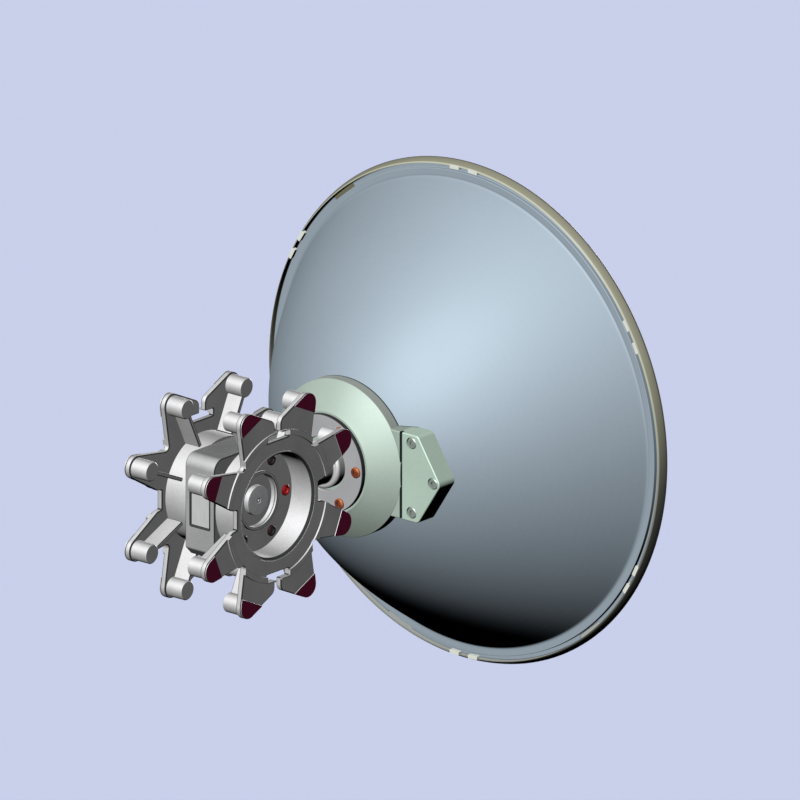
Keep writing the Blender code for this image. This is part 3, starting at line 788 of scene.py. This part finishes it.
def cast_skin(finish, looks, tone, wear_and_top_shade):
    """Cast aluminium: sand grain, clouding and pits, with painted shade on up-facing surfaces and on
    the faces that look along X.
    """
    cloud = finish.noise(22.0, 5.0)
    sand = finish.noise(420.0, 4.0, roughness=0.65)
    pits = finish.noise(160.0, 2.0).step(0.20, 0.30)
    x, y, z = finish.split(finish.facing)
    # Painted shade: up-facing surfaces darkened by the finish's top-shade number.
    top_painted_shade = z.step(0.55, 1.0) * y.step(-0.45, -0.05)
    # Painted shade: faces that look along X made 30% darker.
    x_faces_painted_shade = abs(x).step(0.80, 0.96)
    light = 1.0 + cloud * 0.10 + sand * 0.10 - pits * 0.06
    colour = finish.shade(getattr(looks, tone), light * (1.0 - top_painted_shade * wear_and_top_shade) * (1.0 - x_faces_painted_shade * 0.30))
    return finish.dress(colour, 0.66 + cloud * 0.12 + sand * 0.10, 0.8,
                        sand + cloud * 0.4 - pits * 0.3, 0.00005)


def panel_metal(finish, looks):
    """Brushed sheet: streaks along the panel's height, paler in a few broad passes."""
    stretched = finish.vector(finish.x * 60.0, finish.y * 60.0, finish.z * 2.0)
    streak = finish.noise(22.0, 5.0, stretched)
    passes = finish.noise(0.9, 1.0, stretched)
    colour = finish.shade(looks.panel, 1.0 + streak * 0.16 + passes * 0.10)
    return finish.dress(colour, 0.62 + streak * 0.20, 0.62, streak, 0.00006)


def dull_paint(finish, looks, tone, rough, metal, wear_and_top_shade=0.10):
    """Thin paint or plating on a small part, mottled and slightly worn."""
    tone = getattr(looks, tone) if isinstance(tone, str) else tone
    cloud = finish.noise(190.0, 4.0)
    fine = finish.noise(1300.0, 2.0)
    colour = finish.shade(tone, 1.0 + cloud * wear_and_top_shade * 2.0 + fine * wear_and_top_shade)
    return finish.dress(colour, rough + cloud * 0.18 + fine * 0.08, metal, fine + cloud, 0.00006)


def floor_paint(finish, looks):
    """Plain pale floor with the faintest clouding."""
    return finish.dress(finish.shade(looks.floor, 1.0 + finish.noise(2.0, 3.0) * 0.012), 0.92, 0.0)


# Each finish: its recipe, then a sidebar colour's name or a colour, then plain numbers
RECIPES = {
    "dish_powder_coat": (dish_paint,),
    "cover_moulded_plastic": (cover_plastic,),
    "clip_plastic": (clip_plastic,),
    "hub_pale_enamel": (hub_enamel,),
    "feed_flange_turned_metal": (turned_metal,),
    "cover_panel_brushed_sheet": (panel_metal,),
    "studio_floor": (floor_paint,),
    # The number after a cast finish's colour sets its painted shade on up-facing surfaces.
    CASTING: (cast_skin, "casting", 0.22),
    "coupler_box_aluminium": (cast_skin, "box", 0.38),
    # Near-black painted shade for edges and hollows.
    "casting_dull_edge": (dull_paint, "edge", 0.85, 0.1),
    # Painted shade inside the five darker port screws' sockets.
    "socket_recess": (dull_paint, (0.035, 0.03, 0.03), 0.85, 0.2),
    "lug_screw_zinc": (dull_paint, "steel", 0.55, 0.7),
    # Painted shade inside the lug screws' sockets.
    "lug_screw_socket": (dull_paint, (0.30, 0.36, 0.32), 0.7, 0.4),
    "feed_bolt_plating": (dull_paint, "bolt", 0.6, 0.35, 0.16),
    # Painted shade inside the feed bolts' sockets.
    "feed_bolt_socket": (dull_paint, (0.20, 0.045, 0.02), 0.7, 0.3),
    "port_screw_paint": (dull_paint, "screw", 0.5, 0.45),
    # Painted highlight: bright red inside the first port screw's socket.
    "port_screw_socket": (dull_paint, (0.75, 0.05, 0.05), 0.6, 0.4),
    # Painted shade: a near-black copy of the port screws' paint.
    "port_screw_dark": (dull_paint, (0.035, 0.010, 0.011), 0.6, 0.4),
    "port_disc_faced_metal": (dull_paint, (0.62, 0.63, 0.64), 0.6, 0.35),
    "tip_pad_paint": (dull_paint, "pad", 0.6, 0.1),
}


def finish_of(name):
    """Each finish is made once and shared by its pieces."""
    if name not in bpy.data.materials:
        recipe, *words = RECIPES[name]
        recipe(Finish(name), bpy.context.scene.antenna_finishes, *words)
    return bpy.data.materials[name]


# Pieces

def screws(name, space, points, radius, height, seed, finishes, replaced):
    """Socket screws on a set of points; the second finish is for the insides of their sockets."""
    socket = radius * 0.46
    item = grown(name, socket_screw_tree(), points, finishes[0], Radius=radius, Height=height,
                 Chamfer=radius * 0.16, Socket_radius=socket, Socket_depth=height * 0.62, Seed=seed)
    centres = [Vector(point[:2]) for point in points]
    repaint(item, finishes, lambda face: socket * 0.93 > min(
        (face.center.xy - centre).length for centre in centres))
    settle(item, space, replaced, finishes[0])


class ANTENNA_OT_reflector(bpy.types.Operator):
    """Build the spun reflector with its stepped flange and slots."""
    bl_idname = "antenna.reflector"
    bl_label = "Reflector"

    def execute(self, context):
        sizes = context.scene.antenna_dish
        bead = sizes.edge_bead
        back = bowl_line(sizes.rings, reach=BOWL_RADIUS - bead)
        inside = bowl_line(sizes.rings // 2, -SHEET)
        flange_front = FLANGE_DEPTH - SHEET
        soft = 0.0007
        fold = [bowl_point(BOWL_RADIUS - bead * 0.4),
                (BOWL_RADIUS + bead * 0.35, FLANGE_DEPTH + bead * 0.12),
                (BOWL_RADIUS + bead, FLANGE_DEPTH)]
        edge = arc(soft, pi / 2, 0.0, 3, (FLANGE_RADIUS - soft, FLANGE_DEPTH - soft))
        foot = arc(soft, pi, pi * 1.5, 3, (FLANGE_RADIUS + soft, STEP_DEPTH + soft))
        brim = arc(soft, pi / 2, 0.0, 3, (STEP_RADIUS - soft, STEP_DEPTH - soft))
        front = [(STEP_RADIUS, STEP_FRONT), (FLANGE_RADIUS - SHEET, STEP_FRONT),
                 (FLANGE_RADIUS - SHEET, flange_front), (inside[-1][0], flange_front)]
        dish = turned("dish_reflector", back + fold + edge + foot + brim + front + inside[::-1],
                      sizes.steps)
        slots = bmesh.new()
        for angle in around(6, SLOT_FIRST):
            block_at(slots, angle, sizes.slot_floor, LIP_RADIUS, sizes.slot_length,
                     STEP_FRONT - SHEET, FLANGE_DEPTH)
        combine(dish, loose("slots", slots))
        settle(dish, IN_DISH, ["reflector_shell"], "dish_powder_coat",
               radians(38.0))
        return {"FINISHED"}


class ANTENNA_OT_cover(bpy.types.Operator):
    """Build the front cover with its rolled rim, and the clips that hold it to the flange."""
    bl_idname = "antenna.cover"
    bl_label = "Front cover and clips"

    def execute(self, context):
        sizes = context.scene.antenna_dish
        rim_inner = STEP_RADIUS + 0.0005
        ledge = STEP_FRONT - SEAT_GAP
        deep = ROLL_WIDTH * tan(ROLL_LEAN)
        low = COVER_BACK - deep * sin(ROLL_LEAN)
        rolled = [(LIP_RADIUS - ROLL_WIDTH * (1.0 - along), low + deep * up)
                  for along, up in arc(1.0, ROLL_LEAN, radians(11.0), 14)]
        front_edge = arc(COVER_EDGE, 0.0, -pi / 2, 6, (LIP_RADIUS - COVER_EDGE, COVER_EDGE))
        outside, inside = [], []
        for ring in range(28):
            share = ring / 28
            swell = -sizes.swell * (1.0 - share**2)
            outside.append(((LIP_RADIUS - COVER_EDGE) * share, swell))
            inside.append((BOWL_RADIUS * share, swell + COVER_WALL))
        inside += [(BOWL_RADIUS, COVER_WALL), (BOWL_RADIUS, ledge), (rim_inner, ledge),
                   (rim_inner, COVER_BACK)]
        cover = turned("front_cover", inside + rolled + front_edge + outside[::-1], sizes.steps)
        settle(cover, IN_DISH, ["radome"], "cover_moulded_plastic", radians(40.0))

        angles = [pair + side * TAB_HALF_SPREAD for pair in around(6, TAB_FIRST) for side in (-1, 1)]
        points = spots((TAB_RADIUS + sizes.tab_reach) / 2, RIM_BACK_DEPTH - TAB_HEIGHT, angles)
        tabs = grown("rim_clips", clip_tab_tree(), points, "clip_plastic", Length=sizes.tab_length,
                     Reach=TAB_RADIUS - sizes.tab_reach, Height=TAB_HEIGHT, Corner=TAB_CORNER)
        round_edges(tabs, 0.0005, angle=SHARP_ANGLE)
        settle(tabs, IN_DISH, ["radome"], "clip_plastic")
        return {"FINISHED"}


class ANTENNA_OT_hub(bpy.types.Operator):
    """Build the hub, its mounting lug and the lug's recessed screws."""
    bl_idname = "antenna.hub"
    bl_label = "Hub and lug"

    def execute(self, context):
        sizes = context.scene.antenna_hub
        foot = bowl_line(20, SEAT_GAP, HUB_RADIUS - SEAT_GAP)
        edge = arc(HUB_EDGE, 0.0, pi / 3, 6, (HUB_RADIUS - HUB_EDGE, HUB_EDGE_DEPTH - HUB_EDGE))
        radius, depth = edge[-1]
        crown = []
        for step in range(1, 10):
            share = step / 10
            crown.append((radius + (SEAT_RADIUS - radius) * share,
                          depth + (SEAT_DEPTH - depth) * share + CROWN_SWELL * share * (1.0 - share)))
        outline = foot + [(HUB_RADIUS, foot[-1][1])] + edge + crown
        outline += [(SEAT_RADIUS + 0.0004, SEAT_DEPTH), (0.0, SEAT_DEPTH)]
        casting = turned("dish_hub", outline, 160)
        settle(casting, IN_DISH, ["hub_casting"], "hub_pale_enamel", radians(30.0))

        back, spare = LUG_DEPTH - LUG_THICKNESS, 0.008
        lug = slab("mount_lug", lug_plan(), back - spare, LUG_DEPTH)
        round_edges(lug, sizes.lug_edge, angle=BLUNT_ANGLE, segments=3)
        combine(lug, slab("behind_lug", circle(0.25, 24), back - 2 * spare, back))
        combine(lug, bowl_solid("bowl_space", SEAT_GAP))
        half = sizes.groove_width / 2
        groove = rectangle(sizes.groove_x - half, sizes.groove_x + half, -GROOVE_HALF_LENGTH,
                           GROOVE_HALF_LENGTH)
        combine(lug, slab("groove", groove, LUG_DEPTH - sizes.groove_depth,
                          LUG_DEPTH + sizes.groove_depth))
        floor = LUG_DEPTH - sizes.recess_depth
        names = numbered("lug_bolt", 1, 3)
        points = []
        recesses = bmesh.new()
        for name in names:
            low, high = corners(name)
            middle = (low + high) / 2
            points.append((middle.x - AXIS_X, middle.z, floor + SEAT_GAP))
            prism(recesses, circle(sizes.recess_radius, 48, points[-1][:2]), floor, LUG_DEPTH + 0.002)
        combine(lug, loose("recesses", recesses))
        settle(lug, IN_DISH, ["mounting_lug"], "hub_pale_enamel")
        screws("lug_screws", IN_DISH, points, sizes.screw_radius, LUG_SCREW_HEIGHT, 4,
               ("lug_screw_zinc", "lug_screw_socket"), names)
        return {"FINISHED"}


def lug_plan():
    """House-shaped plate whose root follows the hub's round side."""
    root_radius = HUB_RADIUS + SEAT_GAP
    half_height = (LUG_HIGH.z - LUG_LOW.z) / 2
    lean = atan2(half_height, sqrt(root_radius**2 - half_height**2))
    root = arc(root_radius, lean, -lean, 40)
    nose = filleted([(root[-1][0], -half_height, 0.0), (LUG_SHOULDER, -half_height, 0.007),
                     (LUG_APEX, 0.0, 0.009), (LUG_SHOULDER, half_height, 0.007),
                     (root[0][0], half_height, 0.0)], 8)
    return root[:-1] + nose[:-1]


class ANTENNA_OT_feed(bpy.types.Operator):
    """Build the feed flange with its six bolts, and the waveguide neck with its collar."""
    bl_idname = "antenna.feed"
    bl_label = "Feed flange and neck"

    def execute(self, context):
        sizes = context.scene.antenna_hub
        seat = SEAT_DEPTH + SEAT_GAP
        soft = 0.0012
        rim = arc(soft, 0.0, pi / 2, 5, (FEED_RADIUS - soft, FEED_BACK - soft))
        bore = [(FEED_BORE + soft / 2, FEED_BACK), (FEED_BORE, FEED_BACK - soft / 2)]
        flange = turned("feed_plate", [(FEED_BORE, seat), (FEED_RADIUS, seat)] + rim + bore, 128,
                        ring=True)
        settle(flange, IN_DISH, ["feed_flange"], "feed_flange_turned_metal")
        screws("feed_bolts", IN_DISH, spots(FEED_BOLT_CIRCLE, FEED_BACK + SEAT_GAP, around(6)),
               sizes.bolt_radius, sizes.bolt_height, 9, ("feed_bolt_plating", "feed_bolt_socket"),
               numbered("feed_flange_bolt", 1, 6))

        neck_end = BODY_FRONT_DEPTH - SEAT_GAP
        chamfer, fillet = 0.0045, 0.0016
        collar = [(0.0, seat), (COLLAR_RADIUS, seat), (COLLAR_RADIUS, COLLAR_BACK - chamfer)]
        collar += arc(chamfer, 0.0, pi / 2, 8, (COLLAR_RADIUS - chamfer, COLLAR_BACK - chamfer))[1:]
        root = arc(fillet, -pi / 2, -pi, 5, (NECK_RADIUS + fillet, COLLAR_BACK + fillet))
        neck = turned("waveguide_throat", collar + root + [(NECK_RADIUS, neck_end), (0.0, neck_end)],
                      96)
        settle(neck, IN_DISH, ["waveguide_neck"], sharp=radians(30.0))
        return {"FINISHED"}


class ANTENNA_OT_box(bpy.types.Operator):
    """Build the cast box between the ports and the cover panel set into its back."""
    bl_idname = "antenna.box"
    bl_label = "Coupler box"

    def execute(self, context):
        sizes = context.scene.antenna_coupler
        half = BODY_HALF_LENGTH
        top, bottom = BODY_HIGH.z, BODY_LOW.z
        plan = filleted([(-half, top, 0.016), (half, top, 0.006), (half, bottom, 0.006),
                         (-half + BOX_CHAMFER, bottom, 0.004),
                         (-half, bottom + BOX_CHAMFER, 0.004)], 10)
        box = slab("coupler_box", plan, -BODY_HALF_WIDTH, BODY_HALF_WIDTH)
        low, high = corners("coupler_cover")
        right, floor = high.x - AXIS_X + SEAT_GAP, -half + PANEL_POCKET
        pocket = rectangle(-right, right, low.z - SEAT_GAP, high.z + SEAT_GAP, 0.0012)
        combine(box, slab("panel_pocket", pocket, -half - PANEL_POCKET, floor,
                          Matrix.Rotation(pi / 2, 4, "Y")))
        round_edges(box, sizes.edge, "coupler_box_aluminium", BLUNT_ANGLE, 3)
        # Painted shade: the pocket's floor round the panel gets the near-black edge finish.
        for face in box.data.polygons:
            across, up, aside = face.center
            sunk = abs(across - floor) < SEAT_GAP and low.z < up < high.z
            if sunk and face.normal.x < -0.9 and abs(aside) < BODY_HALF_WIDTH / 2:
                face.material_index = 1
        settle(box, IN_PORT["right"], ["coupler_body"], "coupler_box_aluminium")

        half_wide = (high.x - low.x) / 2 - sizes.panel_gap
        plate = rectangle(-half_wide, half_wide, low.z + sizes.panel_gap, high.z - sizes.panel_gap,
                          0.0010)
        to_back = PORT_PLACE @ Matrix.Rotation(pi / 2, 4, "X") @ Matrix.Diagonal((1.0, 1.0, -1.0, 1.0))
        panel = slab("coupler_panel", plate, low.y - PORT_Y, high.y - PORT_Y, to_back)
        round_edges(panel, 0.0010, "cover_panel_brushed_sheet", SHARP_ANGLE)
        settle(panel, Matrix.Identity(4), ["coupler_cover"], "cover_panel_brushed_sheet")
        return {"FINISHED"}


class ANTENNA_OT_ports(bpy.types.Operator):
    """Build both ports: the cups, and the ring, disc and screws on each cup's floor."""
    bl_idname = "antenna.ports"
    bl_label = "Ports"

    def execute(self, context):
        sizes = context.scene.antenna_coupler
        seat = BORE_FLOOR + SEAT_GAP
        face = BORE_FLOOR + DISC_RISE
        points = spots(sizes.screw_circle, seat, around(6))
        for side, space in IN_PORT.items():
            cup = turned(f"{side}_cup", [
                (0.0, BODY_HALF_WIDTH + SEAT_GAP), (CUP_RADIUS, BODY_HALF_WIDTH + SEAT_GAP),
                (CUP_RADIUS, PORT_FACE), (BORE_RADIUS + MOUTH_CHAMFER, PORT_FACE),
                (BORE_RADIUS, PORT_FACE - MOUTH_CHAMFER), (BORE_RADIUS, BORE_FLOOR),
                (RING_INNER, BORE_FLOOR), (RING_INNER, POCKET_FLOOR), (0.0, POCKET_FLOOR)], 144)
            # Painted shade: the chamfer at the bore's mouth gets the near-black edge finish.
            repaint(cup, (CASTING, "casting_dull_edge"), lambda part: (
                BORE_RADIUS - 0.0006 < part.center.xy.length < BORE_RADIUS + MOUTH_CHAMFER
                and part.center.z > PORT_FACE - 0.003))
            settle(cup, space, [f"{side}_port_housing"])

            ring = turned(f"{side}_ring", rectangle(RING_INNER, RING_OUTER, seat, seat + RING_HEIGHT),
                          112, ring=True)
            round_edges(ring, 0.0009, CASTING)
            settle(ring, space, [f"{side}_port_ring"])

            pin = [(0.0036, face), (0.0030, face - 0.0005), (0.0022, face - 0.0005),
                   (0.0020, face + 0.0008), *arc(0.0012, 0.4, pi / 2, 3, (0.0008, face))[1:],
                   (0.0, face + 0.0012)]
            disc = turned(f"{side}_disc", [
                (0.0, POCKET_FLOOR + SEAT_GAP), (DISC_RADIUS, POCKET_FLOOR + SEAT_GAP),
                (DISC_RADIUS, face), *pin], 96)
            round_edges(disc, 0.0008, CASTING, radians(75.0))
            disc.data.materials.append(finish_of("port_disc_faced_metal"))
            for part in disc.data.polygons:
                if part.normal.z > 0.9 and part.center.xy.length > 0.004:
                    part.material_index = 2
            settle(disc, space, [f"{side}_port_disc"])

            # A lit and a shaded copy of one screw: the first keeps the paint with a painted highlight
            # in its socket, the other five get near-black painted shade.
            screws(f"{side}_painted_glint_screw", space, points[:1], sizes.screw_radius, PORT_SCREW_HEIGHT, 7,
                   ("port_screw_paint", "port_screw_socket"), [f"{side}_port_screw_1"])
            screws(f"{side}_port_screws", space, points[1:], sizes.screw_radius, PORT_SCREW_HEIGHT, 8,
                   ("port_screw_dark", "socket_recess"), numbered(f"{side}_port_screw", 2, 6))
        return {"FINISHED"}


def arm_tips():
    """The eight arms' tip centres, anticlockwise from the first side arm."""
    upper = [SIDE_TIP, TOP_TIP, (-TOP_TIP[0], TOP_TIP[1]), (-SIDE_TIP[0], SIDE_TIP[1])]
    return upper + [(-x, -y) for x, y in upper]


def tangent_angle(tip, root, side):
    """Where a straight edge from a root point touches an arm's rounded tip, as an angle."""
    back = Vector(root) - Vector(tip)
    return atan2(back.y, back.x) + side * acos(TIP_RADIUS / back.length)


def star_plan():
    """A quarter of the star from the side notch to the top window, mirrored twice."""
    side_heading = atan2(SIDE_TIP[1], SIDE_TIP[0])
    top_heading = atan2(TOP_TIP[1], TOP_TIP[0])
    root = at_angle(ROOT_RADIUS, side_heading - atan2(ROOT_HALF_WIDTH, ROOT_RADIUS))
    notch = at_angle(ROOT_RADIUS, (side_heading + top_heading) / 2)
    side_end = arc(TIP_RADIUS, tangent_angle(SIDE_TIP, root, 1), tangent_angle(SIDE_TIP, notch, -1),
                   20, SIDE_TIP)
    top_end = arc(TIP_RADIUS, tangent_angle(TOP_TIP, notch, 1), pi / 2 + WEB_LEAN, 20, TOP_TIP)
    hollow = filleted([(*side_end[-1], 0.0), (*notch, NOTCH_ROUNDING), (*top_end[0], 0.0)], 8)
    tangent = top_end[-1]
    corner_y = tangent[1] - (tangent[0] - WEB_GAP_HALF) * tan(WEB_LEAN)
    web = filleted([(*tangent, 0.0), (WEB_GAP_HALF, corner_y, 0.010),
                    (WEB_GAP_HALF, WEB_LOWER_EDGE, 0.0), (WINDOW_HALF_WIDTH, WEB_LOWER_EDGE, 0.0),
                    (WINDOW_HALF_WIDTH, WINDOW_FLOOR, 0.0)])[1:]
    quarter = [SIDE_NOTCH, root, *side_end, *hollow[1:-1], *top_end, *web]
    upper = quarter + [(-x, y) for x, y in reversed(quarter)]
    return upper + [(-x, -y) for x, y in upper]


def star_space():
    """The space over a star's outline, to trim what stands on its face."""
    return slab("star_space", star_plan(), PORT_FACE - 0.01, PORT_FACE + 0.01)


class ANTENNA_OT_stars(bpy.types.Operator):
    """Build both star flanges with their raised lips, tip pads, bosses and ribs."""
    bl_idname = "antenna.stars"
    bl_label = "Star flanges"

    def execute(self, context):
        sizes = context.scene.antenna_coupler
        for side, space in IN_PORT.items():
            names = [f"{side}_star_flange"]
            plate = slab(f"{side}_star", star_plan(), STAR_INNER, PORT_FACE)
            round_edges(plate, sizes.star_edge, CASTING)
            combine(plate, slab("opening", circle(CUP_RADIUS + SEAT_GAP, 144), STAR_INNER - 0.01,
                                PORT_FACE + 0.01))
            settle(plate, space, names)

            lip = turned(f"{side}_star_lip", rectangle(
                STAR_LIP_INNER, STAR_LIP_OUTER, PORT_FACE - 0.002, PORT_FACE + STAR_LIP_HEIGHT), 144,
                ring=True)
            combine(lip, star_space(), "INTERSECT")
            round_edges(lip, 0.0004, CASTING)
            settle(lip, space, names)

            pads = bmesh.new()
            for tip in arm_tips():
                block_at(pads, atan2(tip[1], tip[0]), sizes.pad_start, PAD_REACH, PAD_WIDTH,
                         PORT_FACE + 0.0001, PORT_FACE + PAD_HEIGHT)
            cushions = combine(loose(f"{side}_tip_pads", pads), star_space(), "INTERSECT")
            repaint(cushions, (CASTING, "tip_pad_paint"), lambda part: part.normal.z > 0.9)
            round_edges(cushions, 0.0004)
            settle(cushions, space, names)

            for kind, upright in (("side", False), ("top", True)):
                tips = [tip for tip in arm_tips() if (abs(tip[1]) > abs(tip[0])) == upright]
                backs = grown(f"{side}_star_{kind}_backs", arm_back_tree(),
                              [(*tip, STAR_INNER + 0.002) for tip in tips], CASTING,
                              Radius=sizes.boss_radius, Length=sizes.boss_length + 0.0008,
                              Rib=sizes.rib, Rib_depth=sizes.rib_depth + 0.002,
                              Rib_reach=Vector(tips[0]).length - CUP_RADIUS - SEAT_GAP)
                backs.data.materials.clear()
                round_edges(backs, 0.0011, CASTING)
                settle(backs, space, names)
        return {"FINISHED"}


class ANTENNA_OT_stage(bpy.types.Operator):
    """Set the floor, the lights and the camera."""
    bl_idname = "antenna.stage"
    bl_label = "Floor, lights and camera"

    def execute(self, context):
        scene = context.scene
        look = scene.antenna_stage
        bm = bmesh.new()
        reach = 12.0
        bm.faces.new([bm.verts.new((x, y, -look.floor_drop))
                      for x, y in rectangle(AXIS_X - reach, AXIS_X + reach, -reach, reach)])
        floor = loose("studio_floor", bm)
        floor.data.materials.append(finish_of("studio_floor"))
        if floor.data.polygons[0].normal.z < 0:
            floor.data.flip_normals()
        floor.visible_diffuse = False
        floor.visible_glossy = False

        out = Vector((cos(look.elevation) * sin(look.azimuth), -cos(look.elevation) * cos(look.azimuth),
                      sin(look.elevation)))
        aim = Vector((-0.2458, FRONT_Y, -0.0129))
        lens = bpy.data.cameras.new("photo_camera")
        lens.type = "ORTHO"
        lens.ortho_scale = look.width
        lens.clip_end = 60.0
        camera = bpy.data.objects.new("photo_camera", lens)
        camera.matrix_world = (Matrix.Translation(aim + out * 2.0)
                               @ out.to_track_quat("Z", "Y").to_matrix().to_4x4())
        scene.collection.objects.link(camera)
        scene.camera = camera

        for name, source, strength, width in (
                ("key_light", (0.221, -0.722, 0.656), look.key, 8.0),
                ("front_light", (-0.35, 0.93, 0.0), look.fill, 2.0)):
            lamp = bpy.data.lights.new(name, "SUN")
            lamp.energy = strength
            lamp.angle = radians(width)
            lamp.use_shadow = False
            sun = bpy.data.objects.new(name, lamp)
            sun.rotation_euler = Vector(source).to_track_quat("Z", "Y").to_euler()
            scene.collection.objects.link(sun)

        world = bpy.data.worlds.new("studio_air")
        world.use_nodes = True
        air = world.node_tree.nodes["Background"]
        air.inputs["Color"].default_value = (*scene.antenna_finishes.floor, 1.0)
        air.inputs["Strength"].default_value = 0.8
        world.cycles_visibility.diffuse = False
        world.cycles_visibility.glossy = False
        scene.world = world
        scene.view_settings.view_transform = "Standard"
        return {"FINISHED"}


OPERATORS = (ANTENNA_OT_reflector, ANTENNA_OT_cover, ANTENNA_OT_hub, ANTENNA_OT_feed, ANTENNA_OT_box,
             ANTENNA_OT_ports, ANTENNA_OT_stars, ANTENNA_OT_stage)
GROUPS = {"antenna_dish": DishSizes, "antenna_hub": HubSizes, "antenna_coupler": CouplerSizes,
          "antenna_finishes": Finishes, "antenna_stage": StageLook}


class ANTENNA_PT_builder(bpy.types.Panel):
    """Lists the antenna's sizes, finishes and build steps."""
    bl_idname = "ANTENNA_PT_builder"
    bl_label = "Antenna"
    bl_space_type = "VIEW_3D"
    bl_region_type = "UI"
    bl_category = "Antenna"

    def draw(self, context):
        for group in GROUPS:
            box = self.layout.box()
            settings = getattr(context.scene, group)
            for key in settings.bl_rna.properties.keys():
                if key not in {"rna_type", "name"}:
                    box.prop(settings, key)
        for operator in OPERATORS:
            self.layout.operator(operator.bl_idname)


def register():
    for made in (*GROUPS.values(), *OPERATORS, ANTENNA_PT_builder):
        bpy.utils.register_class(made)
    for key, group in GROUPS.items():
        setattr(bpy.types.Scene, key, bpy.props.PointerProperty(type=group))


def unregister():
    for key in GROUPS:
        delattr(bpy.types.Scene, key)
    for made in (ANTENNA_PT_builder, *reversed(OPERATORS), *GROUPS.values()):
        bpy.utils.unregister_class(made)


def main():
    register()
    for operator in OPERATORS:
        family, step = operator.bl_idname.split(".")
        getattr(getattr(bpy.ops, family), step)()


if __name__ == "__main__":
    main()
